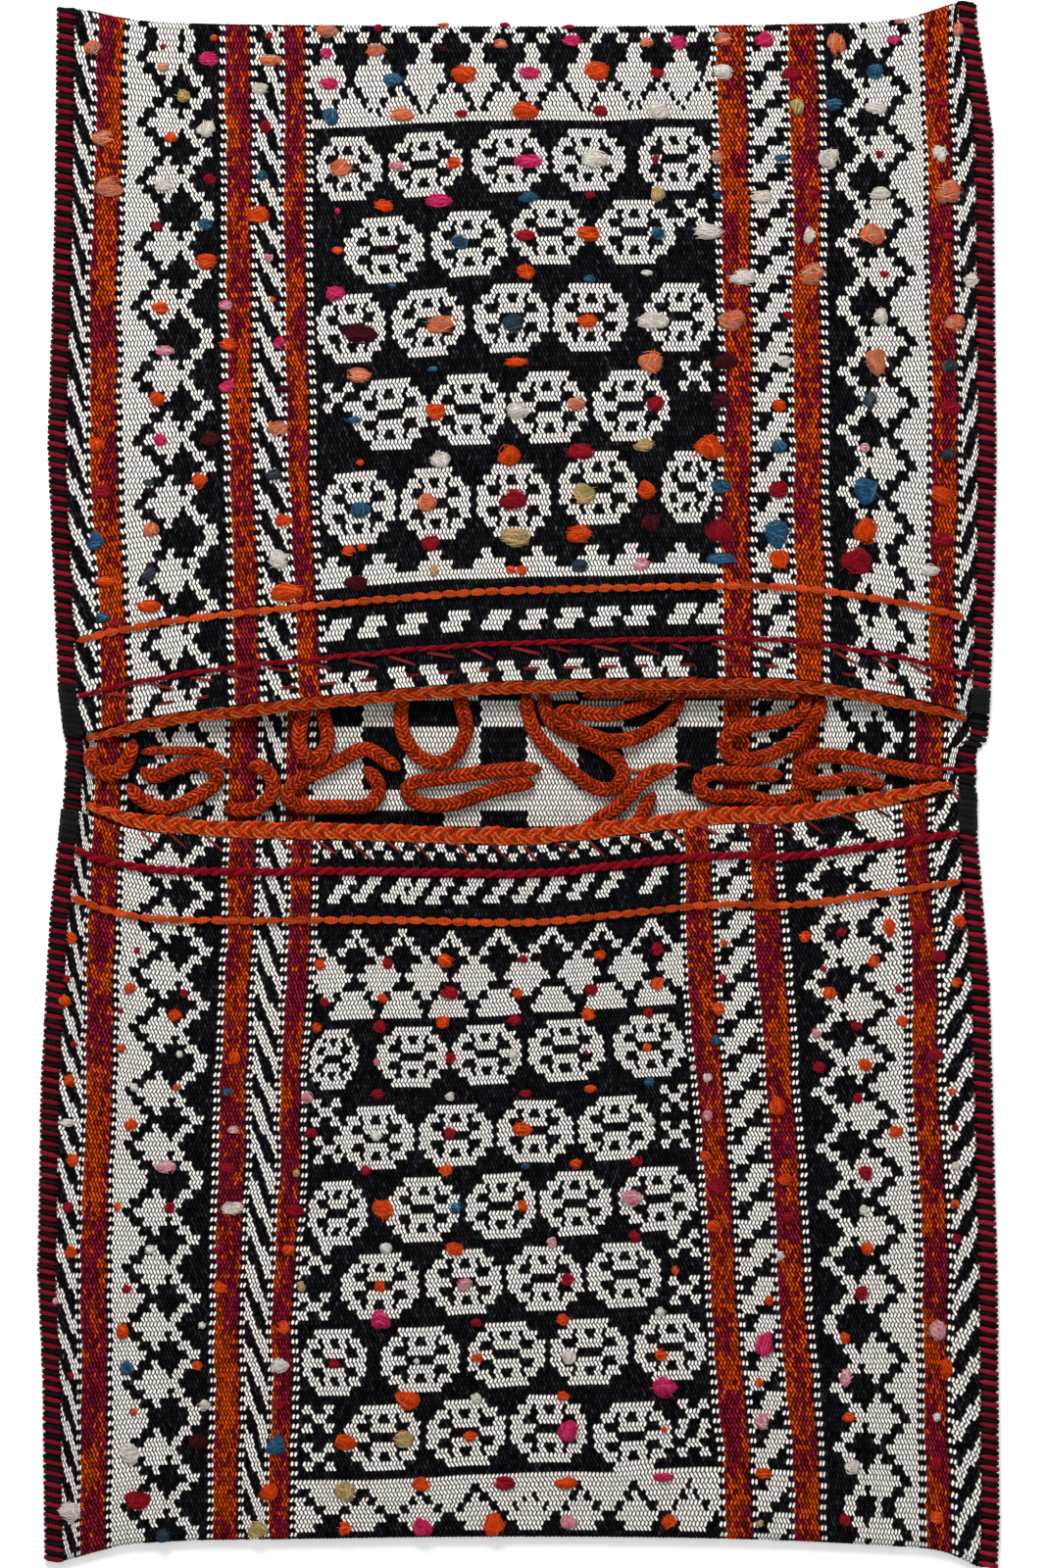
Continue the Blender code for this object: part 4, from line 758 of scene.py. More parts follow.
def tubes(name, paths, radii, sides, material, paint, up=(0.0, 0.0, 1.0), squash=1.0, turns=None):
    """One object of many yarn strands. paint is a colour for each strand."""
    paths = np.asarray(paths, float)
    count, length = paths.shape[:2]
    points = tube_points(paths, radii, sides, up, squash)
    steps = np.linalg.norm(np.diff(paths, axis=1), axis=-1)
    reach = np.concatenate([np.zeros((count, 1)), np.cumsum(steps, axis=1)], axis=1)
    round_it = np.abs(((np.arange(sides) / sides * 2 + 1) % 2) - 1)
    lay = np.stack(
        [
            np.broadcast_to(reach[:, :, None] * 1000, (count, length, sides)),
            np.broadcast_to(round_it[None, None, :], (count, length, sides)),
            np.broadcast_to(np.arange(count)[:, None, None] * 0.37, (count, length, sides)),
        ],
        axis=-1,
    )
    colours = np.broadcast_to(np.asarray(paint, float)[:, None, None, :], (count, length, sides, 3))
    return new_mesh(
        name,
        points.reshape(-1, 3),
        tube_faces(count, length, sides)[:, ::-1],
        material,
        yarn=("FLOAT_COLOR", "POINT", colours.reshape(-1, 3)),
        lay=("FLOAT_VECTOR", "POINT", lay.reshape(-1, 3)),
    )


# Materials

def node(tree, kind, inputs=(), **settings):
    made = tree.nodes.new(kind)
    for key, value in settings.items():
        setattr(made, key, value)
    for key, value in dict(inputs).items():
        if isinstance(value, bpy.types.NodeSocket):
            tree.links.new(value, made.inputs[key])
        else:
            made.inputs[key].default_value = value
    return made


def maths(tree, operation, first, second=0.0):
    return node(tree, "ShaderNodeMath", {0: first, 1: second}, operation=operation).outputs[0]


def multiply_add(tree, value, factor, addend):
    inputs = {0: value, 1: factor, 2: addend}
    return node(tree, "ShaderNodeMath", inputs, operation="MULTIPLY_ADD").outputs[0]


def ramp_between(tree, value, low, high, smooth=True):
    kind = "SMOOTHSTEP" if smooth else "LINEAR"
    inputs = {"Value": value, "From Min": low, "From Max": high}
    return node(tree, "ShaderNodeMapRange", inputs, interpolation_type=kind).outputs["Result"]


def mixed(tree, factor, first, second, blend="MIX"):
    made = node(tree, "ShaderNodeMix", data_type="RGBA", blend_type=blend)
    sockets = (made.inputs[0], made.inputs[6], made.inputs[7])
    for socket, value in zip(sockets, (factor, first, second)):
        if isinstance(value, bpy.types.NodeSocket):
            tree.links.new(value, socket)
        else:
            socket.default_value = value
    return made.outputs[2]


def new_material(name, roughness, sheen=0.0):
    """A material with its node tree and wool-like shader."""
    material = bpy.data.materials.new(name)
    material.use_nodes = True
    tree = material.node_tree
    shader = tree.nodes["Principled BSDF"]
    shader.inputs["Roughness"].default_value = roughness
    shader.inputs["Specular IOR Level"].default_value = 0.02
    shader.inputs["Sheen Weight"].default_value = sheen
    shader.inputs["Sheen Roughness"].default_value = 0.5
    return material, tree, shader


def attribute(tree, name):
    return node(tree, "ShaderNodeAttribute", attribute_name=name)


def fibres(tree, scale, detail=2.0):
    """Streaky noise in object space, stretched by a scale for each axis."""
    where = node(tree, "ShaderNodeTexCoord").outputs["Object"]
    turned = node(tree, "ShaderNodeMapping", {"Vector": where, "Scale": scale}).outputs[0]
    return node(tree, "ShaderNodeTexNoise", {"Vector": turned, "Scale": 1.0, "Detail": detail}).outputs["Fac"]


def finish_wool(tree, shader, colour, height, strength, distance):
    bump = node(
        tree, "ShaderNodeBump", {"Height": height, "Strength": strength, "Distance": distance}
    )
    tree.links.new(colour, shader.inputs["Base Color"])
    tree.links.new(bump.outputs[0], shader.inputs["Normal"])


def grain_look(tree, shader, grain):
    """Warp floats like grains, each its own colour, with painted shade in the gaps between them."""
    yarn = attribute(tree, "yarn").outputs["Color"]
    parts = node(tree, "ShaderNodeSeparateXYZ", {0: grain}).outputs
    leaned = maths(tree, "SUBTRACT", parts[0], maths(tree, "MULTIPLY", parts[1], parts[2]))
    far = None
    for value, reach in ((leaned, 0.80), (parts[1], 0.97)):
        share = maths(tree, "ABSOLUTE", maths(tree, "DIVIDE", value, reach))
        term = maths(tree, "POWER", share, 2.4)
        far = term if far is None else maths(tree, "POWER", maths(tree, "ADD", far, term), 1 / 2.4)
    # Mask of the painted shade that fills the gaps between grains
    gap = ramp_between(tree, far, 0.61, 0.94)
    streaks = fibres(tree, (2600, 600, 900))
    bright = multiply_add(tree, ramp_between(tree, streaks, 0.25, 0.75, False), 0.30, 0.84)
    lit = mixed(tree, 1.0, yarn, bright, "MULTIPLY")
    # Painted shade: the grain's own yarn darkened in the gaps
    dark = mixed(tree, 1.0, yarn, (0.060, 0.040, 0.030, 1), "MULTIPLY")
    colour = mixed(tree, gap, lit, dark)
    square = maths(tree, "MULTIPLY", far, far)
    height = maths(tree, "SUBTRACT", maths(tree, "MULTIPLY", streaks, 0.35), square)
    finish_wool(tree, shader, colour, height, 0.55, 0.0004)


def woven_material():
    """Cloth whose mesh has a facet for each grain."""
    material, tree, shader = new_material("woven_wool", 0.75)
    grain_look(tree, shader, attribute(tree, "bead").outputs["Vector"])
    return material


def lining_material():
    """Cloth on a coarse mesh: the grains come from its warps and rows."""
    material, tree, shader = new_material("lining_wool", 0.75)
    parts = node(tree, "ShaderNodeSeparateXYZ", {0: attribute(tree, "cell").outputs["Vector"]}).outputs
    odd = maths(tree, "FRACT", maths(tree, "MULTIPLY", maths(tree, "FLOOR", parts[1]), 0.5))
    brick = node(tree, "ShaderNodeCombineXYZ", {0: maths(tree, "ADD", parts[0], odd), 1: parts[1]})
    cell = node(tree, "ShaderNodeVectorMath", {0: brick.outputs[0]}, operation="FRACTION").outputs[0]
    settings = {0: cell, 1: (2, 2, 0), 2: (-1, -1, 0)}
    flat = node(tree, "ShaderNodeVectorMath", settings, operation="MULTIPLY_ADD").outputs[0]
    grain = node(tree, "ShaderNodeVectorMath", {0: flat, 1: (1, 1, 0)}, operation="MULTIPLY").outputs[0]
    grain_look(tree, shader, grain)
    return material


def strand_material(name, twist, roughness=0.85, depth=0.0003, dark=0.45):
    """Yarn of a few plies: slanted ply lines along each strand, with painted shade in the grooves between plies."""
    material, tree, shader = new_material(name, roughness)
    yarn = attribute(tree, "yarn").outputs["Color"]
    parts = node(tree, "ShaderNodeSeparateXYZ", {0: attribute(tree, "lay").outputs["Vector"]}).outputs
    phase = maths(tree, "ADD", maths(tree, "MULTIPLY", parts[0], twist), maths(tree, "MULTIPLY", parts[1], 1.6))
    ply = maths(tree, "ABSOLUTE", maths(tree, "SINE", maths(tree, "MULTIPLY", phase, math.pi)))
    groove = ramp_between(tree, ply, 0.0, 0.75)
    noise = fibres(tree, (900, 900, 900))
    shade = multiply_add(tree, noise, 0.8, 0.6)
    lit = mixed(tree, 1.0, yarn, shade, "MULTIPLY")
    # Painted shade: the yarn darkened by the dark factor in the grooves between plies
    low = mixed(tree, 1.0, yarn, (dark, dark * 0.8, dark * 0.8, 1), "MULTIPLY")
    colour = mixed(tree, groove, low, lit)
    height = maths(tree, "ADD", groove, maths(tree, "MULTIPLY", noise, 0.5))
    finish_wool(tree, shader, colour, height, 0.6, depth)
    return material


def plait_material(name, colour_name):
    """Braided yarn: chevrons of fine strands that meet along the middle, with painted shade in the grooves, along the
    seam and between plies, and painted highlights on the strands.
    """
    material, tree, shader = new_material(name, 0.8, 0.02)
    parts = node(tree, "ShaderNodeSeparateXYZ", {0: attribute(tree, "lay").outputs["Vector"]}).outputs
    strand = maths(tree, "FRACT", parts[0])
    swing = maths(tree, "ABSOLUTE", multiply_add(tree, strand, 2.0, -1.0))
    groove = ramp_between(tree, swing, 1.0, 0.30)
    plies = maths(tree, "ABSOLUTE", maths(tree, "SINE", maths(tree, "MULTIPLY", parts[0], 3 * math.pi)))
    fine = ramp_between(tree, plies, 0.1, 0.95)
    seam = ramp_between(tree, parts[1], 0.0, 0.14)
    noise = fibres(tree, (900, 900, 900), 3.0)
    whole = PAINT[colour_name]
    # deep: painted shade in the grooves between strands, along the middle seam and between plies
    deep = (*(whole * np.array([0.04, 0.02, 0.02])), 1)
    # low and high span the strands' random tone; the dark end is partly painted shade, the bright end partly a
    # painted highlight
    low, high = (*(whole * 0.22), 1), (*np.minimum(whole * 1.8 + np.array([0.10, 0.02, 0.005]), 1), 1)
    pick_one = node(tree, "ShaderNodeTexWhiteNoise", {"W": maths(tree, "FLOOR", parts[0])}, noise_dimensions="1D")
    level = maths(tree, "ADD", noise, multiply_add(tree, pick_one.outputs["Value"], 0.16, -0.08))
    tone_and_painted_highlight = mixed(tree, ramp_between(tree, level, 0.36, 0.64), low, high)
    worn = ramp_between(tree, fibres(tree, (120, 120, 120)), 0.5, 0.85)
    faded = mixed(tree, maths(tree, "MULTIPLY", worn, 0.4), tone_and_painted_highlight, (*(whole * 1.1 + 0.01), 1))
    split = multiply_add(tree, fine, 0.7, 0.30)
    half = maths(tree, "MULTIPLY", groove, multiply_add(tree, seam, 0.7, 0.30))
    factor = maths(tree, "MULTIPLY", half, split)
    colour = mixed(tree, factor, deep, faded)
    height = maths(tree, "ADD", factor, maths(tree, "MULTIPLY", noise, 0.4))
    finish_wool(tree, shader, colour, height, 0.8, 0.0006)
    return material


def tuft_material():
    material, tree, shader = new_material("tuft_wool", 0.95, 0.03)
    yarn = attribute(tree, "yarn").outputs["Color"]
    where = node(tree, "ShaderNodeTexCoord").outputs["Object"]
    coarse = node(tree, "ShaderNodeTexNoise", {"Vector": where, "Scale": 900.0, "Detail": 3.0, "Distortion": 1.5})
    fine = node(tree, "ShaderNodeTexNoise", {"Vector": where, "Scale": 2600.0, "Detail": 2.0})
    both = maths(tree, "ADD", maths(tree, "MULTIPLY", coarse.outputs["Fac"], 0.7), maths(tree, "MULTIPLY", fine.outputs["Fac"], 0.3))
    shade = ramp_between(tree, both, 0.36, 0.6)
    low = mixed(tree, 1.0, yarn, (0.55, 0.45, 0.45, 1), "MULTIPLY")
    colour = mixed(tree, shade, low, yarn)
    finish_wool(tree, shader, colour, both, 0.9, 0.0012)
    return material


WOVEN = woven_material()
LINING = lining_material()
PLY = strand_material("yarn_strand", 0.55)
BRAID = plait_material("orange_plait", "braid")
SHADED_CORD_PLAIT = plait_material("shaded_cord_plait", "ember")
TUFT = tuft_material()


# Camera: straight down from far above
CAMERA_HEIGHT = 4.0
SENSOR = 24.0


def make_camera():
    data = bpy.data.cameras.new("view")
    data.sensor_fit = "VERTICAL"
    data.sensor_height = SENSOR
    data.lens = SENSOR * CAMERA_HEIGHT / (VIEW_HEIGHT * VIEW_SCALE)
    data.clip_end = 20.0
    made = bpy.data.objects.new("view", data)
    made.location = (float(across(VIEW_WIDTH / 2)), float(along(VIEW_HEIGHT / 2)), CAMERA_HEIGHT)
    bpy.context.scene.collection.objects.link(made)
    bpy.context.scene.camera = made


make_camera()


# Cords

def plait(name, path, radius, pitch, lean, depth, material, flat=1.0, sides=16, steps=4):
    """A braided cord: a tube whose surface rises and falls with slanted strands."""
    line = resample(np.asarray(path, float), pitch / steps)
    count = len(line)
    reach = np.arange(count) / steps
    turn = np.abs(((np.arange(sides) / sides * 4 + 2) % 4) - 2)
    fold = 1 - np.abs(1 - turn)
    phase = reach[:, None] + lean * fold[None, :]
    swell = 1 - (2 * (phase % 1) - 1) ** 2
    seam = np.exp(-((fold / 0.2) ** 2))[None, :]
    inset = depth * (1 - swell) + depth * seam
    taper = np.clip(np.minimum(np.arange(count), np.arange(count)[::-1]) / 9, 0.004, 1) ** 0.5
    ahead = np.gradient(line, axis=0)
    ahead /= np.linalg.norm(ahead, axis=1, keepdims=True)
    side = np.cross(ahead, (0.0, 0.0, 1.0))
    side /= np.linalg.norm(side, axis=1, keepdims=True)
    high = np.cross(side, ahead)
    angle = 2 * math.pi * np.arange(sides) / sides + math.pi / 2
    ring = (
        np.cos(angle)[None, :, None] * side[:, None, :]
        + flat * np.sin(angle)[None, :, None] * high[:, None, :]
    )
    radii = (radius - inset) * taper[:, None]
    points = line[:, None, :] + radii[:, :, None] * ring
    lay = np.stack([phase, np.broadcast_to(fold, phase.shape), np.broadcast_to(reach[:, None], phase.shape)], axis=-1)
    return new_mesh(
        name,
        points.reshape(-1, 3),
        tube_faces(1, count, sides)[:, ::-1],
        material,
        lay=("FLOAT_VECTOR", "POINT", lay.reshape(-1, 3)),
    )


def path_length(path):
    return float(np.linalg.norm(np.diff(np.asarray(path), axis=0), axis=1).sum())


def lay_cord(piece, node_name):
    dress(piece, "orange_braid", node_name)


def make_loops():
    radius = LOOP_DIAMETER / 2
    laid = CLOTH + CLEARANCE + radius
    for name, route in LOOP_ROUTES.items():
        points = [(across(x), along(y), laid + lift) for x, y, lift in route]
        path = smooth_path(points, 0.004)
        piece = plait("braid_" + name, path, radius * 1.2, 0.0028, 1.7, 0.0009, BRAID, flat=0.84)
        lay_cord(piece, name)


def mouth_line(pocket):
    """Centre line of the braid sewn along a mouth, in front of the cloth's edge."""
    radius = pocket.braid_radius
    start = cloth_edge(-1, pocket.corners[-1]) + radius
    stop = cloth_edge(1, pocket.corners[1]) - radius
    x = np.linspace(start, stop, 17)
    height = pocket.inner_z(x, pocket.mouth(x)) + CLOTH / 2
    lowest = CLOTH + CLEARANCE + radius
    return np.stack([x, pocket.braid(x), np.maximum(height, lowest)], axis=1)


def make_base_cords():
    reach = UPPER_BRAID_RADIUS + BASE_CORD_RADIUS + CLEARANCE
    drop = math.radians(20)
    first, last = (float(across(x)) for x in BASE_CORD_SPAN_VIEW)
    line = mouth_line(UPPER)
    line = line[(line[:, 0] > first) & (line[:, 0] < last)]
    line = line + np.array([0, -reach * math.cos(drop), -reach * math.sin(drop)])
    path = smooth_path(line, 0.004)
    # The base cord lies under the upper lip; its darker ember plait is painted shade
    piece = plait("braid_base_cord", path, BASE_CORD_RADIUS * 1.3, 0.0026, 1.2, 0.0004, SHADED_CORD_PLAIT, sides=12)
    lay_cord(piece, "loop_base_cord")
    laid = CLOTH + CLEARANCE + TAIL_RADIUS
    tail = [(across(x), along(y), laid) for x, y in LEFT_TAIL_ROUTE]
    path = smooth_path(tail, 0.004)
    piece = plait("braid_tail", path, TAIL_RADIUS * 1.35, 0.0026, 1.4, 0.0004, BRAID, sides=12)
    lay_cord(piece, "loop_tail")


make_loops()
make_base_cords()


# Weave charts

def noise_grid(u, row, wide, tall, seed):
    """Smooth patches between 0 and 1 over warps and rows."""
    grid = np.random.default_rng(seed).random((80, 200))
    a, b = (row / tall) % 79, (u / wide) % 199
    i, j = a.astype(int), b.astype(int)
    p, q = a - i, b - j
    p, q = p * p * (3 - 2 * p), q * q * (3 - 2 * q)
    top = grid[i, j] * (1 - q) + grid[i, j + 1] * q
    low = grid[i + 1, j] * (1 - q) + grid[i + 1, j + 1] * q
    return top * (1 - p) + low * p


def pick(table, index):
    """The table's value for each index, 0 outside it."""
    table = np.asarray((*table, 0.0))
    inside = (index >= 0) & (index < len(table) - 1)
    return table[np.where(inside, index, len(table) - 1)]


# A zigzag zone at each level away from a diamond's middle, in warps from the white side: reach of the
# edge, middle and half width of the diamond, middle of the line
ZIGZAG = ((4.3, 12.1, 5.0, 17.9), (6.1, 12.9, 3.3, 19.3), (8.7, 13.3, 1.1, 21.5), (11.0, 13.3, 0.0, 24.0))


def zigzag_zone(a, width, side):
    """White edge, row of diamonds and zigzag line; side is levels from a diamond's middle."""
    reach, middle, half, line = ZIGZAG[min(abs(side), 3)]
    a = a * 29 / (width - 1)
    return ((a >= 2) & (a < reach)) | (np.abs(a - middle) < half) | (np.abs(a - line) < 1.6)


def from_nearest(level, places):
    """Levels from the nearest of several places to this one."""
    gaps = level - np.asarray(places)
    return int(gaps[np.argmin(np.abs(gaps))])


def slanted(a, down, slope, period, share):
    """Parallel slanted bands with a white share; warps and rows count from a band's middle."""
    return ((a - slope * down) / (abs(slope) * period) + share / 2) % 1 < share


STEPS = ((6.0, 12.0), (4.2, 9.6), (0.5, 7.6), (0.3, 5.2))


def step_zone(a, down):
    """A staircase that repeats every few levels: white between two warps at each level."""
    step = down % len(STEPS)
    low, high = (pick([span[i] for span in STEPS], step) for i in (0, 1))
    return (a >= low) & (a < high)


def nearest(u, places):
    return np.min(np.abs(u[..., None] - np.asarray(places)), axis=-1)


def peak_band(u, rise, peaks, mounds, diamonds, lines):
    """Mounds on a base, diamonds between them, and a zigzag line over both."""
    peaks = np.asarray(peaks)
    between = np.concatenate([[2 * peaks[0] - peaks[1]], peaks, [2 * peaks[-1] - peaks[-2]]])
    between = (between[1:] + between[:-1]) / 2
    a, b = nearest(u, peaks), nearest(u, between)
    mound = a < pick(mounds, rise)
    diamond = b < pick(diamonds, rise)
    centre = pick(lines, rise)
    line = (centre > 0) & (np.abs(b - centre) < 1.4)
    return mound | diamond | line


def medallion(du, dl):
    far, deep = np.abs(du), np.abs(dl)
    lobes = ((far > 4.7) & (far < 8.4)) | ((far > 1.3) & (far < 3.5))
    sides = ((far > 7.1) & (far < 10.4)) | (far < 3.5)
    return (
        ((deep == 3) & (far < 5.7))
        | ((deep == 2) & lobes)
        | ((deep == 1) & sides)
        | ((deep == 0) & (far > 3.8) & (far < 10.4))
    )


def cross(du, dl):
    far, deep = np.abs(du), np.abs(dl)
    return ((deep == 0) & (far < 1.9)) | ((deep == 1) & (far > 1.5) & (far < 4.0))


@functools.cache
def medallion_places(pocket, places):
    """(warp, level, half width) of each medallion, as wide as its neighbours and the stripes allow."""
    low, high = pocket.warps[6] + 2.6, pocket.warps[7] - 2.6
    spots = [(pocket.warp(x, y), pocket.level(x, y), y) for x, y in places]
    found = []
    for warp, level, y in spots:
        beside = [abs(warp - other) for other, _, height in spots if abs(height - y) < 20]
        gap = min(room for room in beside if room > 0)
        found.append((warp, level, min(10.4, gap / 2 - 0.8, warp - low, high - warp)))
    return found


def field_figures(pocket, u, level, medallions, crosses):
    white = np.zeros(u.shape, bool)
    for warp, middle, reach in medallion_places(pocket, medallions):
        white |= medallion((u - warp) * 10.4 / reach, level - middle)
    for x, y in crosses:
        white |= cross(u - pocket.warp(x, y), level - pocket.level(x, y))
    return white


def figure_row(pocket, u, level, places, view_y, spans):
    """One small figure at each place: spans of warps for each level away from the mouth."""
    white = np.zeros(u.shape, bool)
    start = pocket.level(530, view_y)
    for x in places:
        du = u - pocket.warp(x, view_y)
        rise = level - start
        for k, (low, high) in enumerate(spans):
            white |= (rise == k) & (du > low) & (du < high)
    return white


MOUNDS = (99, 5.0, 3.4, 1.0)
DIAMONDS = (0, 0.6, 1.7, 3.5, 5.4, 4.6, 2.0, 1.8)
LINES = (0, 0, 0, 0, 0, 0, 0, 0, 3.2, 5.4, 7.2)
HALF_ROUNDS = (6.1, 4.9, 3.2)
LOWER_DIAMONDS = (0, 0, 1.7, 4.0, 6.3, 4.4, 1.6)
LOWER_LINES = (0, 0, 0, 0, 0, 0, 0, 2.9, 5.2, 7.2)
BOTTOM_MOUNDS = (99, 6.2, 4.4, 2.0)
BOTTOM_DIAMONDS = (0, 0, 1.0, 3.3, 5.5, 3.4)


def upper_field(u, level):
    pocket = UPPER
    white = field_figures(pocket, u, level, UPPER_MEDALLIONS, UPPER_CROSSES)
    peaks = [pocket.warp(x, 90) for x in UPPER_PEAKS]
    rise = level - pocket.level(557, 117)
    white |= peak_band(u, rise, peaks, MOUNDS, DIAMONDS, LINES)
    white |= level == pocket.level(530, 586)
    white |= figure_row(pocket, u, level, MERLONS, 586, ((-5, 5), (-4.7, 4.5), (-2.0, 1.2)))
    white |= figure_row(pocket, u, level, UPPER_ESSES, 634, ((-3.8, 2.0), (-1.8, 4.1)))
    white |= figure_row(pocket, u, level, HEM_BIRDS, 685, ((-2.2, 3.3), (-4.0, 1.1)))
    return white


def lower_field(u, level):
    pocket = LOWER
    white = field_figures(pocket, u, level, LOWER_MEDALLIONS, LOWER_CROSSES)
    peaks = [pocket.warp(x, 1000) for x in LOWER_PEAKS]
    rise = pocket.level(537, 1026) - level
    white |= peak_band(u, rise, peaks, HALF_ROUNDS, LOWER_DIAMONDS, LOWER_LINES)
    peaks = [pocket.warp(x, 1530) for x in BOTTOM_PEAKS]
    rise = level - pocket.level(537, 1509)
    white |= peak_band(u, rise, peaks, BOTTOM_MOUNDS, BOTTOM_DIAMONDS, ())
    white |= figure_row(
        pocket, u, level, LOWER_ESSES, 903, ((0.4, 4.6), (-1.8, 2.6), (-4.0, 0.3))
    )
    start = pocket.level(537, 868)
    step = u % 6.2
    white |= ((level == start) & (step < 2.7)) | ((level == start + 1) & (step > 2.9) & (step < 5.6))
    return white


def chart(pocket, u, row, field, figures):
    """Yarn of each warp float: 0 black, 1 white, 2 red."""
    bands, diamonds, steps = figures
    level = row // 2
    bounds = pocket.warps
    zone = np.clip(np.searchsorted(bounds, u, side="right") - 1, 0, 12)
    width = np.diff(bounds)
    from_left = u - bounds[zone]
    from_right = bounds[zone + 1] - u
    white = (zone == 6) & field(u, level)
    for place, x, y, slope, period, share in bands:
        warp, start = pocket.find(x, y)
        down = -pocket.end * (row - start)
        white |= (zone == place) & slanted(u - warp, down, slope, period, share)
    for place, x, heights in diamonds:
        a = from_left if place == 2 else from_right
        side = from_nearest(int(level[0]), [pocket.level(x, y) for y in heights])
        white |= (zone == place) & zigzag_zone(a, width[place], side)
    white |= (zone == 8) & step_zone(from_left, -pocket.end * (level - pocket.level(*steps)))
    at_stripe = ((from_left < 2) & (zone > 0)) | ((from_right < 2) & (zone < 12))
    white = np.where(at_stripe, row % 2 == 0, white)
    return np.where(zone % 2 == 1, 2, np.where(white, 1, 0))


def yarn_colours(code, u, row, cloth, seed):
    """Colour of each float, with the wool's own unevenness; black floats also carry painted sheen, and cloth picks
    its patches of red.
    """
    rng = np.random.default_rng(seed)
    size = code.shape
    white = PAINT["white"] * np.clip(rng.normal(1.03, 0.07, size), 0.80, 1.09)[..., None]
    # Black floats vary widely from grain to grain: partly the wool's own tone, partly painted sheen
    black = PAINT["black"] * np.exp(rng.normal(0, 0.6, size))[..., None]
    mix = noise_grid(u, row, 2.3, 8.0, cloth) + 0.6 * noise_grid(u, row, 6.0, 30.0, cloth + 1)
    wine = mix + rng.normal(0, 0.24, size) > 0.80
    shade = rng.uniform(0.40, 1.42, size)[..., None]
    red = np.where(wine[..., None], PAINT["wine"], PAINT["rust"]) * shade
    return np.where((code == 1)[..., None], white, np.where((code == 2)[..., None], red, black))


# Cloth

INTERLOCK = 0.17
LEAN = 0.17
DRIFT = 0.16
CROWN = 0.00035
GAP = 0.00018


def weave(place, warps, rows, first_row, paint, seed, downward):
    """Grains of a warp-faced cloth in a brick lattice.

    Returns points, triangles, a colour for each triangle and a place in its grain for each corner,
    and the warp at each triangle.
    """
    rng = np.random.default_rng(seed)
    j = np.arange(2 * warps + 1)
    edge = (j == 0) | (j == 2 * warps)
    lines, normals = [], []
    for k in range(rows + 1):
        flip = np.where((j + k) % 2 == 0, 1.0, -1.0)
        reach = 0.0 if k in (0, rows) else INTERLOCK
        slant = LEAN * (1 if k % 2 == 0 else -1) + rng.normal(0, 0.05, j.size)
        u = j / 2 + np.where(edge, 0.0, slant)
        spots, outward = place(u, first_row + k + reach * flip)
        lines.append(spots - outward * GAP)
        normals.append(outward)
    base = np.array(lines).reshape(-1, 3)
    span = 2 * warps + 1

    points, triangles, corners, colours, middles = [base], [], [], [], []
    total = len(base)
    rim = np.array([(0, -1), (1, -0.62), (1, 0.62), (0, 1), (-1, 0.62), (-1, -0.62)])
    for k in range(rows):
        odd = k % 2
        centre = j[(j % 2 == 1)] if odd == 0 else j[2:-1:2]
        u = centre / 2 + rng.normal(0, 0.05, centre.size)
        spots, outward = place(u, np.full(centre.size, first_row + k + 0.5) + rng.normal(0, 0.04, centre.size))
        points.append(spots + outward * (CROWN * rng.uniform(0.6, 1.3, centre.size))[:, None])
        tilt = downward * (DRIFT + 0.12 * swell(*spots[:, :2].T, 8, 0.03, 0.09)) + rng.normal(0, 0.08, centre.size)
        top, low = k * span + centre, (k + 1) * span + centre
        ring = np.stack([top, top + 1, low + 1, low, low - 1, top - 1], axis=1)
        tip = total + np.arange(centre.size)
        total += centre.size
        for n in range(6):
            m = (n + 1) % 6
            triangles.append(np.stack([ring[:, n], ring[:, m], tip], axis=1))
            local = np.array([(*rim[n], 0), (*rim[m], 0), (0, 0, 0)])
            local = np.repeat(local[None], centre.size, axis=0)
            local[:, :, 2] = tilt[:, None]
            corners.append(local)
        shade = paint(centre / 2, np.full(centre.size, first_row + k))
        colours += [shade] * 6
        middles += [centre / 2] * 6
        if odd:
            for a, b in ((0, 1), (2 * warps, 2 * warps - 1)):
                quad = np.array([[k * span + a, k * span + b, (k + 1) * span + b], [k * span + a, (k + 1) * span + b, (k + 1) * span + a]])
                local = np.array(
                    [[(0, -0.9, 0), (1, -0.6, 0), (1, 0.6, 0)], [(0, -0.9, 0), (1, 0.6, 0), (0, 0.9, 0)]]
                )
                if b < a:
                    quad, local = quad[:, ::-1], local[:, ::-1]
                triangles.append(quad)
                corners.append(local)
                shade = paint(np.array([a / 2, a / 2]), np.full(2, first_row + k))
                colours.append(shade)
                middles.append(np.array([a / 2, a / 2]))
    return (
        np.vstack(points),
        np.vstack(triangles),
        np.vstack(colours),
        np.vstack(corners),
        np.concatenate(middles),
    )


def cloth_piece(name, woven, keep, flip):
    points, triangles, colours, corners, _ = woven
    triangles, colours, corners = triangles[keep], colours[keep], corners[keep]
    used, index = np.unique(triangles, return_inverse=True)
    triangles = index.reshape(triangles.shape)
    if flip:
        triangles, corners = triangles[:, ::-1], corners[:, ::-1]
    return new_mesh(
        name,
        points[used],
        triangles,
        WOVEN,
        yarn=("FLOAT_COLOR", "FACE", colours),
        bead=("FLOAT_VECTOR", "CORNER", corners.reshape(-1, 3)),
    )


def make_front(word, pocket, field, figures, seed):
    """The front in two pieces, left and right."""
    warps = int(pocket.warps[-1])
    rows = pocket.rows + FOLD_ROWS

    def paint(u, row):
        code = chart(pocket, u, row, field, figures)
        return yarn_colours(code, u, row, seed, seed + int(row[0]) * 3)

    woven = weave(pocket.place, warps, rows, 0, paint, seed, -pocket.end)
    for side, keep in (("left", woven[4] < warps / 2), ("right", woven[4] >= warps / 2)):
        piece = cloth_piece(f"cloth_{word}_{side}", woven, keep, pocket.end > 0)
        dress(piece, "black_wool", "woven_cloth")


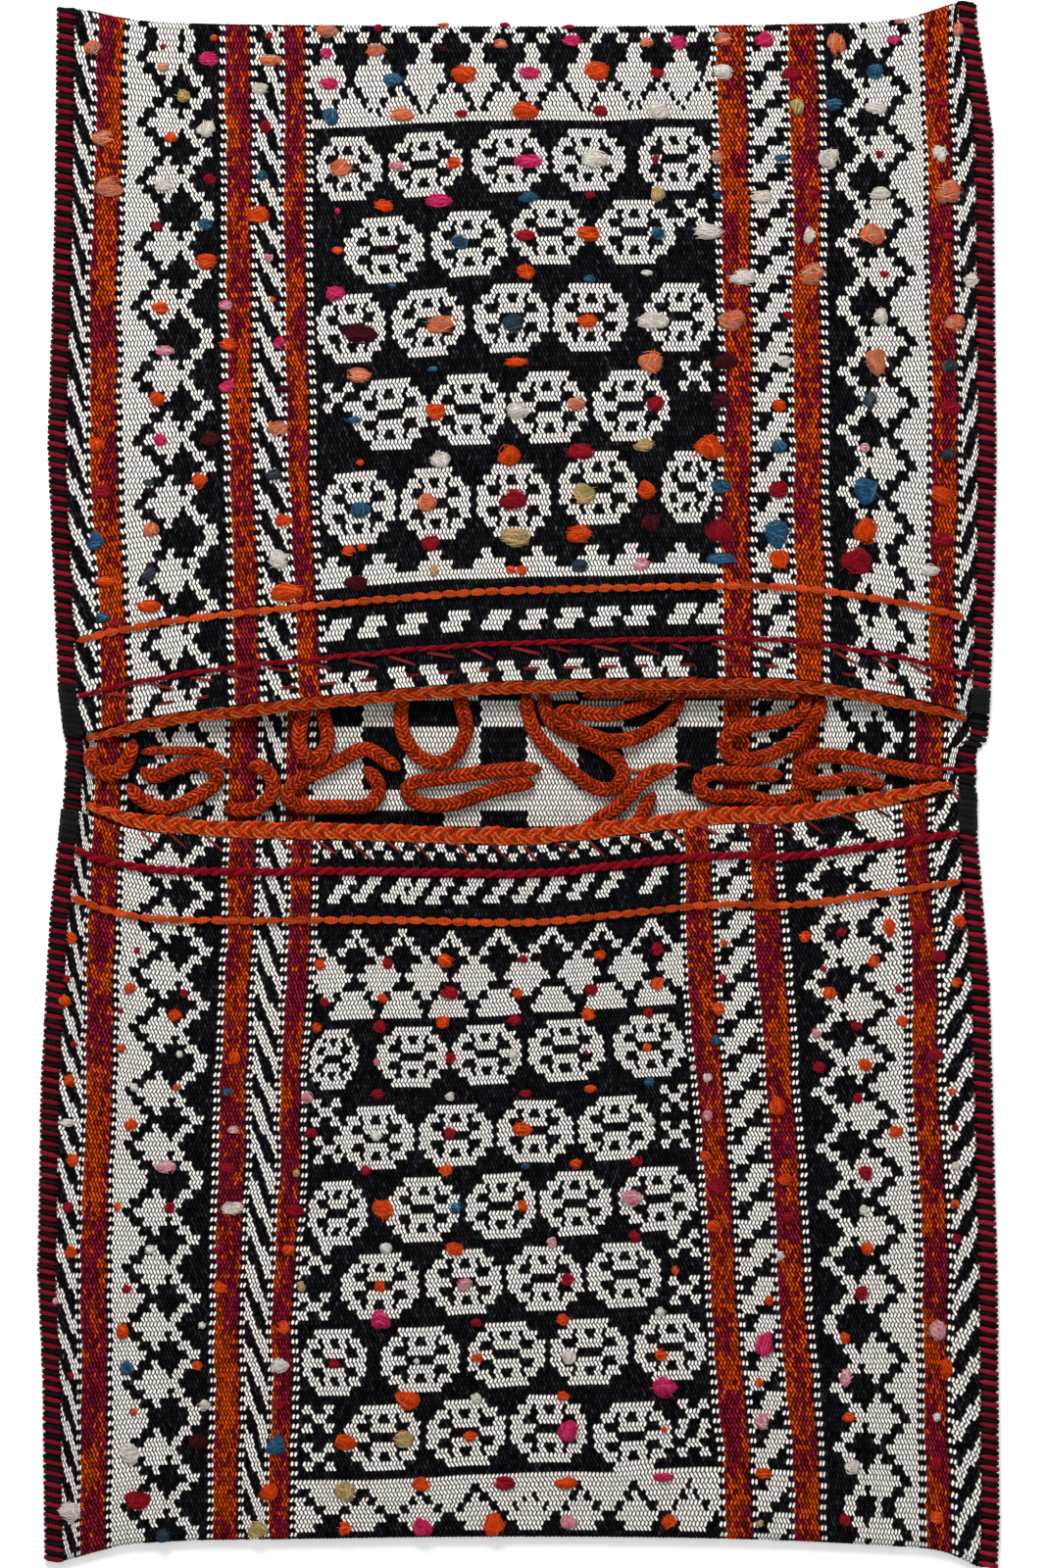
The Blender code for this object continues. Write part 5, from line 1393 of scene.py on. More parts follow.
# Figures beside the field, placed in the view: slanted bands (zone, middle x and y of one, warps for
# each row, rows for each band, white share), diamonds (zone, x, y of each), start of a staircase
UPPER_FIGURES = (
    (
        (0, 81, 373, 0.62, 8.2, 0.46),
        (4, 274, 356, 0.80, 8.2, 0.47),
        (12, 988, 252, -0.72, 8.2, 0.46),
    ),
    (
        (2, 165, (3, 60, 123, 188, 254, 317, 383, 450, 516, 588, 658, 725)),
        (10, 898, (36, 98, 158, 219, 282, 346, 414, 476, 542, 592, 642, 700)),
    ),
    (798, 227),
)
LOWER_FIGURES = (
    (
        (0, 69, 1205, 0.68, 8.2, 0.47),
        (4, 266, 1182, 0.62, 9.0, 0.51),
        (12, 985, 1222, -0.72, 8.3, 0.46),
    ),
    (
        (2, 166, (878, 940, 993, 1052, 1111, 1169, 1232, 1290, 1353, 1414, 1476, 1537)),
        (10, 890, (868, 918, 972, 1027, 1082, 1137, 1193, 1253, 1315, 1384, 1445, 1507, 1567)),
    ),
    (780, 1195),
)
make_front("upper", UPPER, upper_field, UPPER_FIGURES, 11)
make_front("lower", LOWER, lower_field, LOWER_FIGURES, 57)


# Bridge between the pockets

BRIDGE_TOP = 672.0
BRIDGE_PITCH = 5.35
BRIDGE_ROWS = 38
BRIDGE_REACH = 0.012
BRIDGE_WARPS = np.array(UPPER_WARPS).cumsum()
BRIDGE_WARPS = np.concatenate([[0], BRIDGE_WARPS])
BRIDGE_COLUMNS = (312, 336, 370, 413, 452, 490, 537, 590, 636, 690, 737)
BRIDGE_BANDS = (
    (600, "BWBWWBWBWB"),
    (717, "BBWBBWBWBW"),
    (744, "BWBWWBWBWB"),
    (786, "WWBWWWWBWB"),
    (806, "WWWWWWWWWW"),
    (828, "BBBBWBWWWW"),
    (845, "BBBBBBBBBB"),
)


def bridge_spots(view_y):
    """X of each zone's edge on the bridge."""
    depth = min(1.0, max(0.0, (view_y - 700) / 140))
    y = float(along(view_y))
    inner = []
    for width, (near, middle, far) in BRIDGE_STRIPES:
        x = float(across(curve_value(((0.0, near), (0.5, middle), (1.0, far)), depth)))
        half = width * VIEW_SCALE / 2
        inner += [x - half, x + half]
    return [float(cloth_edge(-1, y)), *inner, float(cloth_edge(1, y))]


def bridge_place(u, row):
    view_y = BRIDGE_TOP + BRIDGE_PITCH * row
    x = np.interp(u, BRIDGE_WARPS, bridge_spots(float(np.mean(view_y))))
    y = np.broadcast_to(along(view_y), x.shape)
    wave = 0.00015 * np.sin(x * 90 + 1) * np.sin(y * 130)
    spots = np.stack([x, y, CLOTH - 0.0002 + wave], axis=-1)
    return spots, np.broadcast_to(np.array([0.0, 0.0, 1.0]), spots.shape)


def bridge_chart(u, row):
    view_y = BRIDGE_TOP + BRIDGE_PITCH * (float(row[0]) + 0.5)
    spots = bridge_spots(view_y)
    zone = np.clip(np.searchsorted(BRIDGE_WARPS, u, side="right") - 1, 0, 12)
    from_left = u - BRIDGE_WARPS[zone]
    from_right = BRIDGE_WARPS[zone + 1] - u
    level = row // 2
    view_x = np.interp(u, BRIDGE_WARPS, spots) / VIEW_SCALE + VIEW_MIDDLE_X
    white = (zone == 0) & slanted(from_left, row, 0.62, 8.2, 0.53)
    white |= (zone == 12) & slanted(from_left, row, -0.72, 8.2, 0.5)
    white |= (zone == 2) & zigzag_zone(from_right, 30, from_nearest(int(level[0]), (2, 8, 14)))
    white |= (zone == 10) & zigzag_zone(from_left, 30, from_nearest(int(level[0]), (4, 10, 16)))
    white |= (zone == 4) & slanted(from_left, row, 0.8, 8.2, 0.52)
    white |= (zone == 8) & step_zone(from_left, level)
    band = [marks for top, marks in BRIDGE_BANDS if top <= view_y][-1]
    column = np.searchsorted(BRIDGE_COLUMNS, view_x) - 1
    inside = (column >= 0) & (column < len(band)) & (zone == 6)
    check = np.array([mark == "W" for mark in band])[np.clip(column, 0, len(band) - 1)]
    white |= inside & check
    at_stripe = ((from_left < 2) & (zone > 0)) | ((from_right < 2) & (zone < 12))
    white = np.where(at_stripe, row % 2 == 0, white)
    return np.where(zone % 2 == 1, 2, np.where(white, 1, 0))


def make_bridge():
    def paint(u, row):
        return yarn_colours(bridge_chart(u, row), u, row, 301, 301 + int(row[0]) * 3)

    woven = weave(bridge_place, int(BRIDGE_WARPS[-1]), BRIDGE_ROWS, 0, paint, 99, 1)
    points, triangles = woven[0], woven[1]
    centre = points[triangles].mean(axis=1)
    top = UPPER.mouth(centre[:, 0]) + BRIDGE_REACH
    low = LOWER.mouth(centre[:, 0]) - BRIDGE_REACH
    keep = (centre[:, 1] < top) & (centre[:, 1] > low)
    piece = cloth_piece("cloth_bridge", woven, keep, False)
    return dress(piece, "black_wool", "woven_cloth")


# Inside and underside of the cloth

def strip_spots(y):
    """X of each zone's edge at y, anywhere along the folded strip."""
    for pocket in (UPPER, LOWER):
        mouth, fold = float(pocket.mouth(0.0)), float(pocket.fold(0.0))
        if pocket.end * y > pocket.end * mouth:
            return pocket.spots(min(1.0, (y - mouth) / (fold - mouth)))
    top, low = float(UPPER.mouth(0.0)), float(LOWER.mouth(0.0))
    share = (y - low) / (top - low)
    return [a * share + b * (1 - share) for a, b in zip(UPPER.spots(0.0), LOWER.spots(0.0))]


def strip_columns():
    """Warps at which the coarse cloth's faces part."""
    return np.unique(np.concatenate([np.arange(0, UPPER.warps[-1], 4), UPPER.warps])).astype(float)


def inside_line(pocket, steps=12, turns=5):
    """Rings from a mouth's lip along the front's inner face and round the inner fold to the floor."""
    columns = strip_columns()
    rings = []
    x = np.interp(columns, UPPER.warps, pocket.spots(0.0))
    mouth = pocket.mouth(x)
    rings.append(np.stack([x, mouth + pocket.end * 0.0006, pocket.outer_z(x, mouth) - 0.0001], axis=1))
    rings.append(np.stack([x, mouth - pocket.end * 0.0001, pocket.outer_z(x, mouth) - 0.0008], axis=1))
    for depth in np.linspace(0, 1, steps):
        x = np.interp(columns, UPPER.warps, pocket.spots(depth))
        mouth = pocket.mouth(x)
        y = mouth + depth * (pocket.fold(x) - mouth)
        rings.append(np.stack([x, y, pocket.inner_z(x, y)], axis=1))
    fold = pocket.fold(x)
    ring = pocket.fold_hollow(x) / 2
    for angle in np.linspace(0, math.pi, turns)[1:]:
        y = fold + pocket.end * ring * math.sin(angle)
        rings.append(np.stack([x, y, CLOTH + ring * (1 + math.cos(angle)) - 0.0003], axis=1))
    return rings


def flat_line(z, start, stop, steps):
    columns = strip_columns()
    rings = []
    for share in np.linspace(0, 1, steps):
        middle = start(0.0) + share * (stop(0.0) - start(0.0))
        x = np.interp(columns, UPPER.warps, strip_spots(float(middle)))
        y = start(x) + share * (stop(x) - start(x))
        rings.append(np.stack([x, y, np.full_like(x, z)], axis=1))
    return rings


def coarse_cloth(name, rings, flip, seed):
    """Striped cloth through rings of points, one ring for each row of faces."""
    columns = strip_columns()
    rings = np.array(rings)
    count, width = rings.shape[:2]
    i, j = np.meshgrid(np.arange(count - 1), np.arange(width - 1), indexing="ij")
    base = i * width + j
    faces = np.stack([base, base + 1, base + width + 1, base + width], axis=-1).reshape(-1, 4)
    steps = np.linalg.norm(np.diff(rings[:, width // 2], axis=0), axis=1)
    rows = np.concatenate([[0.0], np.cumsum(steps)]) / 0.0028
    grid = np.stack([np.broadcast_to(columns, (count, width)), np.broadcast_to(rows[:, None], (count, width))], -1)
    cells = grid.reshape(-1, 2)[faces]
    if flip:
        faces, cells = faces[:, ::-1], cells[:, ::-1]
    middle = (columns[1:] + columns[:-1]) / 2
    zone = np.searchsorted(UPPER.warps, middle, side="right") - 1
    spot = middle - UPPER.warps[zone]
    pale = ((zone % 2 == 0) & (spot % 6 < 2)) | ((zone == 2) & (spot < 8)) | ((zone == 10) & (spot > 22))
    code = np.where(zone % 2 == 1, 2, np.where(pale, 1, 0))
    colours = [yarn_colours(code, middle, np.full(middle.shape, 3.0 * k), seed, seed + k) for k in range(count - 1)]
    cells = np.concatenate([cells, np.zeros((*cells.shape[:2], 1))], axis=-1)
    return new_mesh(
        name,
        rings.reshape(-1, 3),
        faces,
        LINING,
        yarn=("FLOAT_COLOR", "FACE", np.vstack(colours)),
        cell=("FLOAT_VECTOR", "CORNER", cells.reshape(-1, 3)),
    )


def make_linings():
    upper, lower = inside_line(UPPER), inside_line(LOWER)
    floor = flat_line(CLOTH - 0.0008, UPPER.fold, LOWER.fold, 28)
    inside = coarse_cloth("cloth_inside", [*upper, *floor[1:-1], *lower[::-1]], False, 5)
    under = coarse_cloth("cloth_underside", flat_line(0.0003, UPPER.fold, LOWER.fold, 40), False, 6)
    for piece, length in ((inside, 1.53), (under, 0.80)):
        dress(piece, "black_wool", "woven_cloth")


make_bridge()
make_linings()


# Side bindings

WRAP_PITCH = 0.00555
WRAP_SLOPE = 0.22


def wrap_section(height, rise, radius):
    """Centre line of one wrap round the edge, as distances outward and up."""
    top = height + rise
    out = BINDING_WIDTH + CLEARANCE - radius * 0.75
    return np.array(
        [
            (-0.0008, height + 0.0001),
            (0.0012, height + 0.5 * rise),
            (0.0036, top - radius * 0.3),
            (0.0060, top - radius * 0.55),
            (out - 0.0006, 0.70 * height),
            (out, 0.45 * height),
            (out - 0.0008, max(0.22 * height, radius * 0.9)),
            (0.0058, radius * 0.85),
        ]
    )


def wrap_paths(side, low, high, height, rise, pitch, radius, shift, seed):
    rng = np.random.default_rng(seed)
    count = max(1, int((high - low) / pitch))
    middles = low + (np.arange(count) + shift) * (high - low) / count
    paths = []
    for y in middles:
        section = wrap_section(height, rise, radius)
        out = section[:, 0] + rng.normal(0, 0.00012, len(section))
        lean = -WRAP_SLOPE * side * (out - BINDING_WIDTH / 2) * rng.uniform(0.7, 1.3)
        row = y + lean + rng.normal(0, 0.0002)
        x = cloth_edge(side, y) + side * out
        paths.append(np.stack([np.broadcast_to(x, out.shape), row, section[:, 1]], axis=1))
    return paths


def binding_core(name, side, low, high, height, rise):
    """Dark body under the wraps, its soot yarn painted darker as shade between them."""
    stations = np.linspace(low, high, max(3, int((high - low) / 0.006)))
    rings = []
    for y in stations:
        inner = cloth_edge(side, y)
        outer = inner + side * (BINDING_WIDTH - 0.0012)
        middle = inner + side * BINDING_WIDTH * 0.5
        high_z, base = height + rise - 0.0016, 0.0006
        section = ((inner, base), (outer, base), (outer, height * 0.6), (middle, high_z), (inner, height - 0.0004))
        rings.append([(x, y, z) for x, z in section])
    points = np.array(rings)
    faces = tube_faces(1, len(stations), 5)
    # Painted shade: the core is darker than the soot yarn
    colours = np.broadcast_to(PAINT["soot"] * 0.6, (points.shape[0] * 5, 3))
    lay = np.zeros((points.shape[0] * 5, 3))
    return new_mesh(
        name,
        points.reshape(-1, 3),
        faces if side > 0 else faces[:, ::-1],
        PLY,
        yarn=("FLOAT_COLOR", "POINT", colours),
        lay=("FLOAT_VECTOR", "POINT", lay),
    )


def make_binding(name, side, low, high, height, rise, crimson, seed):
    rng = np.random.default_rng(seed)
    pitch = WRAP_PITCH if crimson else 0.0032
    radius = 0.00150 if crimson else 0.00190
    red = wrap_paths(side, low, high, height, rise, pitch, radius, 0.25, seed)
    dark = wrap_paths(side, low, high, height, rise - 0.0002, pitch, 0.00145, 0.75, seed + 1)
    colours = []
    for _ in red:
        tone = PAINT["wrap"] * rng.uniform(0.6, 1.15) * (1.15 if side > 0 else 0.85)
        # Between the pockets the crimson wraps are painted darker, most of them near black: painted shade under the
        # lips of the mouths
        if "bridge" in name:
            tone = tone * 0.6 if rng.random() < 0.4 else PAINT["felt"]
        colours.append(tone if crimson else PAINT["felt"] * rng.uniform(0.7, 1.3))
    colours += [PAINT["soot" if crimson else "felt"] * rng.uniform(0.7, 1.4) for _ in dark]
    paths = np.array([smooth_rings(path, 9) for path in [*red, *dark]])
    ends = np.array([0.25, 0.8, 1, 1, 1, 1, 1, 0.9, 0.4])
    widths = np.concatenate([np.full(len(red), radius), np.full(len(dark), 0.00145)])
    radii = widths[:, None] * ends[None, :]
    wool = PLY if crimson else TUFT
    wraps = tubes(name + "_yarn", paths, radii, 6, wool, colours, up=(0.0, 1.0, 0.0), squash=1.0)
    core = binding_core(name + "_core", side, low, high, height, rise)
    for piece in (wraps, core):
        dress(piece, "crimson_yarn" if crimson else "black_yarn", name)


def smooth_rings(points, count):
    """A fixed number of points on a smooth curve through the given ones."""
    fine = smooth_path(points, 0.0002)
    picked = np.linspace(0, len(fine) - 1, count)
    return np.stack([np.interp(picked, np.arange(len(fine)), fine[:, i]) for i in range(3)], axis=1)


def make_bindings():
    seam = 2 * CLOTH + SIDE_HOLLOW
    gap = CLEARANCE
    seed = 700
    for side, word in ((-1, "left"), (1, "right")):
        ends = [p.end_line(cloth_edge(side, p.fold_corners[side])) for p in (UPPER, LOWER)]
        top, bottom = (float(y) for y in ends)
        mouth_top, mouth_bottom = UPPER.corners[side], LOWER.corners[side]
        black_top = mouth_top + CORNER_REACH[side][0]
        black_bottom = mouth_bottom - CORNER_REACH[side][1]
        parts = (
            (f"binding_{word}_upper", black_top + gap, top, seam, 0.0006, True),
            (f"corner_wrap_{word}_upper", mouth_top, black_top - gap, seam, 0.0016, False),
            (f"binding_{word}_bridge", mouth_bottom + gap, mouth_top - gap, CLOTH, 0.0010, True),
            (f"corner_wrap_{word}_lower", black_bottom + gap, mouth_bottom, seam, 0.0016, False),
            (f"binding_{word}_lower", bottom, black_bottom - gap, seam, 0.0006, True),
        )
        for name, low, high, height, rise, crimson in parts:
            make_binding(name, side, low, high, height, rise, crimson, seed)
            seed += 10


make_bindings()


# Mouth braids and rows of stitches

def strand_braid(name, path, width, height, period, radius, tone, seed):
    """Three bundles of yarn plaited along a path."""
    rng = np.random.default_rng(seed)
    spacing = period / 11
    line = resample(path, spacing)
    ahead, side = frame_along(line)
    reach = np.arange(len(line)) * spacing
    knots = np.linspace(0, reach[-1], 60)
    uneven = 1 + np.interp(reach, knots, rng.normal(0, 0.12, 60))
    wander = np.interp(reach, knots, rng.normal(0, 0.0003, 60))
    narrow = 0.35 + 0.65 * np.clip(np.minimum(reach, reach[-1] - reach) / 0.035, 0, 1)
    paths, colours = [], []
    shades = [PAINT["mouth"], PAINT["mouth"], PAINT["braid"], PAINT["tan"], PAINT["ember"]]
    for bundle in range(3):
        turn = 2 * math.pi * (reach / period + bundle / 3)
        out = width * uneven * narrow * np.sin(turn) + wander
        rise = height * np.sin(2 * turn)
        slope = np.gradient(out, reach)
        length = np.sqrt(1 + slope**2)
        for yarn in (-1, 0, 1):
            spread = yarn * radius * 1.35 * narrow + np.interp(reach, knots, rng.normal(0, 0.00015, 60))
            along_it = -spread * slope / length
            outward = out + spread / length
            lift = rise + 0.25 * radius * np.cos(reach * 900 + yarn * 2)
            paths.append(
                line + ahead * along_it[:, None] + side * outward[:, None] + np.array([0, 0, 1.0]) * lift[:, None]
            )
            colours.append(shades[rng.integers(len(shades))] * tone * rng.uniform(0.7, 1.1))
    return tubes(name, paths, np.full((9, len(line)), radius), 5, PLY, colours)


def make_mouth_braids():
    for word, pocket, width, radius, period, tone in (
        ("upper", UPPER, 0.0019, 0.00068, 0.0150, 0.82),
        ("lower", LOWER, 0.0027, 0.00088, 0.0125, 1.12),
    ):
        path = smooth_path(mouth_line(pocket), 0.004)
        name = f"mouth_braid_{word}"
        piece = strand_braid("sewn_" + name, path, width, radius * 0.9, period, radius, tone, 41)
        dress(piece, "rust_braid", name)


def stitch_line(pocket, setback, spread, radius):
    """Centre line of a row of stitches that lies on the front."""
    line = []
    for place in np.linspace(-1, 1, 25):
        reach = setback + spread * place**2
        side = -1 if place < 0 else 1
        y = pocket.corners[side] + pocket.end * reach
        start, stop = cloth_edge(-1, y), cloth_edge(1, y)
        x = (start + stop) / 2 + place * ((stop - start) / 2 - radius)
        y = pocket.braid(x) + pocket.end * reach
        line.append((x, y, pocket.outer_z(x, y) + radius * 0.8))
    return np.array(line, float)


def frame_along(line):
    """Directions along, to the side of and above each point of a line."""
    ahead = np.gradient(line, axis=0)
    ahead /= np.linalg.norm(ahead, axis=1, keepdims=True)
    side = np.cross(np.array([0.0, 0.0, 1.0]), ahead)
    side /= np.linalg.norm(side, axis=1, keepdims=True)
    return ahead, side


def chain_row(name, pocket, seed):
    """Chain stitches: each link is two strands that part from a point and close again."""
    rng = np.random.default_rng(seed)
    setback, spread = STITCH_ROWS[name]
    line = smooth_path(stitch_line(pocket, setback, spread, CHAIN_RADIUS), 0.0005)
    ahead, side = frame_along(line)
    link = 0.0074
    count = int(path_length(line) / link)
    t = np.linspace(0, 1, 7)
    bow = np.array([0.10, 0.62, 0.95, 1.0, 0.9, 0.6, 0.12])
    paths, colours = [], []
    for i in range(count):
        start = i * link + rng.normal(0, 0.0002)
        size = link * rng.uniform(1.12, 1.24)
        tilt = rng.normal(0, 0.0003)
        shade = PAINT["chain"] * rng.uniform(0.75, 1.2)
        for way in (-1.15, -0.42, 0.42, 1.15):
            spot = np.clip((start + size * (t + rng.normal(0, 0.03))) / 0.0005, 0, len(line) - 1)
            at = np.stack([np.interp(spot, np.arange(len(line)), line[:, k]) for k in range(3)], 1)
            out = np.stack([np.interp(spot, np.arange(len(line)), side[:, k]) for k in range(3)], 1)
            width = way * 0.00125 * bow * rng.uniform(0.85, 1.15) + tilt * (t - 0.5)
            lift = (0.0009 - 0.0003 * abs(way)) * np.sin(math.pi * t) + 0.0006 * t
            paths.append(at + out * width[:, None] + np.array([0, 0, 1.0]) * lift[:, None])
            colours.append(shade * rng.uniform(0.7, 1.2))
    radii = 0.00064 * np.array([0.45, 0.85, 1, 1.05, 1, 0.85, 0.45])
    piece = tubes(name + "_links", paths, np.broadcast_to(radii, (len(paths), 7)), 5, PLY, colours)
    dress(piece, "rust_braid", name)


def twined_row(name, pocket, pitch, width, radius, seed):
    """Two strands that twist round each other."""
    rng = np.random.default_rng(seed)
    setback, spread = STITCH_ROWS[name]
    line = smooth_path(stitch_line(pocket, setback, spread, TWINED_RADIUS), 0.0011)
    _, side = frame_along(line)
    reach = np.arange(len(line)) * 0.0011
    wander = np.interp(reach, np.linspace(0, reach[-1], 40), rng.normal(0, 0.00025, 40))
    paths = []
    for start in (0, math.pi):
        turn = 2 * math.pi * reach / pitch + start
        wide = width * np.sin(turn) + wander
        high = 0.0006 * np.cos(turn)
        paths.append(line + side * wide[:, None] + np.array([0, 0, 1.0]) * high[:, None])
    colours = [PAINT["crimson"], PAINT["crimson"] * 0.62]
    piece = tubes(name + "_strands", paths, np.full((2, len(line)), radius), 6, PLY, colours)
    dress(piece, "crimson_yarn", name)


make_mouth_braids()
chain_row("chain_stitch_upper", UPPER, 31)
chain_row("chain_stitch_lower", LOWER, 32)
twined_row("twined_stitch_upper", UPPER, 0.0123, 0.0007, 0.00095, 33)
twined_row("twined_stitch_lower", LOWER, 0.0110, 0.0012, 0.00142, 34)


# Hem stitches and tufts

def hem_row(name, pocket, start, length, drop, pitch, shift, seed):
    """Short double stitches beside a mouth; start and drop are distances from its braid, in the view."""
    rng = np.random.default_rng(seed)
    paths, colours = [], []
    first = cloth_edge(-1, pocket.corners[-1]) / VIEW_SCALE + 16 + shift
    for k in range(int(900 / pitch)):
        x = first + k * pitch + rng.normal(0, 3)
        if x > 462:
            break
        size = length * rng.uniform(0.75, 1.2)
        fall = drop * rng.uniform(0.7, 1.3)
        shade = PAINT["hem"] * rng.uniform(0.6, 1.25)
        t = np.linspace(0, 1, 7)
        for way in (-1, 1):
            across_view = x + size * t
            px = across_view * VIEW_SCALE
            py = pocket.braid(px) + pocket.end * start * VIEW_SCALE - (fall * t + way * 0.8) * VIEW_SCALE
            pz = pocket.outer_z(px, py) + 0.0002 + 0.0007 * np.sin(math.pi * t)
            paths.append(np.stack([px, py, pz], axis=1))
            colours.append(shade * rng.uniform(0.85, 1.15))
    radii = 0.00042 * np.array([0.6, 0.9, 1, 1, 1, 0.9, 0.6])
    piece = tubes(name, paths, np.broadcast_to(radii, (len(paths), 7)), 6, PLY, colours)
    dress(piece, "rust_braid")


def make_tufts(word, pocket, table, seed):
    """Flattened knots of wool: a lumpy dome with fibres lying over it, some of them loose; the dome is painted darker
    as shade under the fibres.
    """
    rng = np.random.default_rng(seed)
    sides = 14
    turn = 2 * math.pi * np.arange(sides) / sides
    rings = (1.0, 0.85, 0.6, 0.3)
    size_each = len(rings) * sides + 1
    points, faces, paints = [], [], []
    strands, strand_paints, strand_radii = [], [], []
    total = 0
    k = np.arange(sides)
    n = (k + 1) % sides
    for x, y, wide, tall, yarn in table:
        shades = [linear(code) for code in TUFT_YARNS[yarn]]
        cx, cy = float(across(x)), float(along(y))
        half = np.array([wide, tall]) * VIEW_SCALE / 2
        size = float(half.mean())
        thick = min(0.0028, 0.0010 + 0.32 * size)
        lean = rng.uniform(-0.35, 0.35) if wide > 1.15 * tall else rng.uniform(0, math.pi)
        wobble = 0.97 + 0.11 * np.sin(2 * turn + rng.uniform(0, 6)) + 0.09 * np.sin(3 * turn + rng.uniform(0, 6))
        wobble += rng.normal(0, 0.06, sides)
        for ring in rings:
            px = cx + half[0] * ring * wobble * np.cos(turn)
            py = cy + half[1] * ring * wobble * np.sin(turn)
            dome = math.sqrt(1 - ring**2.4) * thick
            pz = pocket.outer_z(px, py) + dome + rng.normal(0, 0.00015, sides) * (ring < 1) - 0.0001
            points.append(np.stack([px, py, pz], axis=1))
        points.append(np.array([[cx, cy, float(pocket.outer_z(cx, cy)) + thick]]))
        for ring in range(len(rings) - 1):
            a = total + ring * sides
            faces.append(np.stack([a + k, a + n, a + sides + n], axis=1))
            faces.append(np.stack([a + k, a + sides + n, a + sides + k], axis=1))
        last = total + (len(rings) - 1) * sides
        faces.append(np.stack([last + k, last + n, np.full(sides, total + size_each - 1)], axis=1))
        # Painted shade: the dome under the fibres is darkened from the tuft's first yarn colour
        deep = 0.82 if yarn == "W" else 0.62
        paints.append(np.broadcast_to(shades[0] * deep, (size_each, 3)) * rng.uniform(0.7, 1.15, (size_each, 1)))
        total += size_each

        base = np.linspace(-1, 1, 5)
        for number in range(int(np.clip(5 + size / 0.0004, 6, 15))):
            loose = number % 4 == 0
            angle = lean + rng.normal(0, 0.9 if loose else 0.45)
            offset = rng.uniform(-0.85, 0.85)
            span = math.sqrt(1 - offset**2) * rng.uniform(0.8, 1.05) * (1.22 if loose else 1.0)
            t = base * span + rng.normal(0, 0.10)
            bend = offset + rng.normal(0, 0.20) * (1 - base**2)
            ux = t * math.cos(angle) - bend * math.sin(angle)
            uy = t * math.sin(angle) + bend * math.cos(angle)
            far = np.minimum(1.0, np.hypot(ux, uy))
            px, py = cx + half[0] * ux, cy + half[1] * uy
            pz = pocket.outer_z(px, py) + np.sqrt(1 - far**2.4) * thick + 0.00014
            strands.append(np.stack([px, py, pz], axis=1))
            strand_paints.append(shades[rng.integers(len(shades))] * rng.uniform(0.78, 1.15))
            strand_radii.append(rng.uniform(0.00022, 0.00038))
    body = new_mesh(
        f"tufts_{word}",
        np.vstack(points),
        np.vstack(faces),
        TUFT,
        yarn=("FLOAT_COLOR", "POINT", np.vstack(paints)),
    )
    radii = np.array(strand_radii)[:, None] * np.array([0.45, 1, 1, 1, 0.45])[None, :]
    hairs = tubes(f"tuft_fibres_{word}", strands, radii, 4, TUFT, np.minimum(strand_paints, 1))
    for piece in (body, hairs):
        dress(piece, "orange_braid")


def loose_yarn(name, points, radius, colour):
    """A thin free yarn end among the loops."""
    laid = CLOTH + CLEARANCE + radius
    path = smooth_path([(float(across(x)), float(along(y)), laid + lift) for x, y, lift in points], 0.0012)
    piece = tubes(name, [path], np.full((1, len(path)), radius), 6, PLY, [PAINT[colour]])
    dress(piece, "rust_braid")


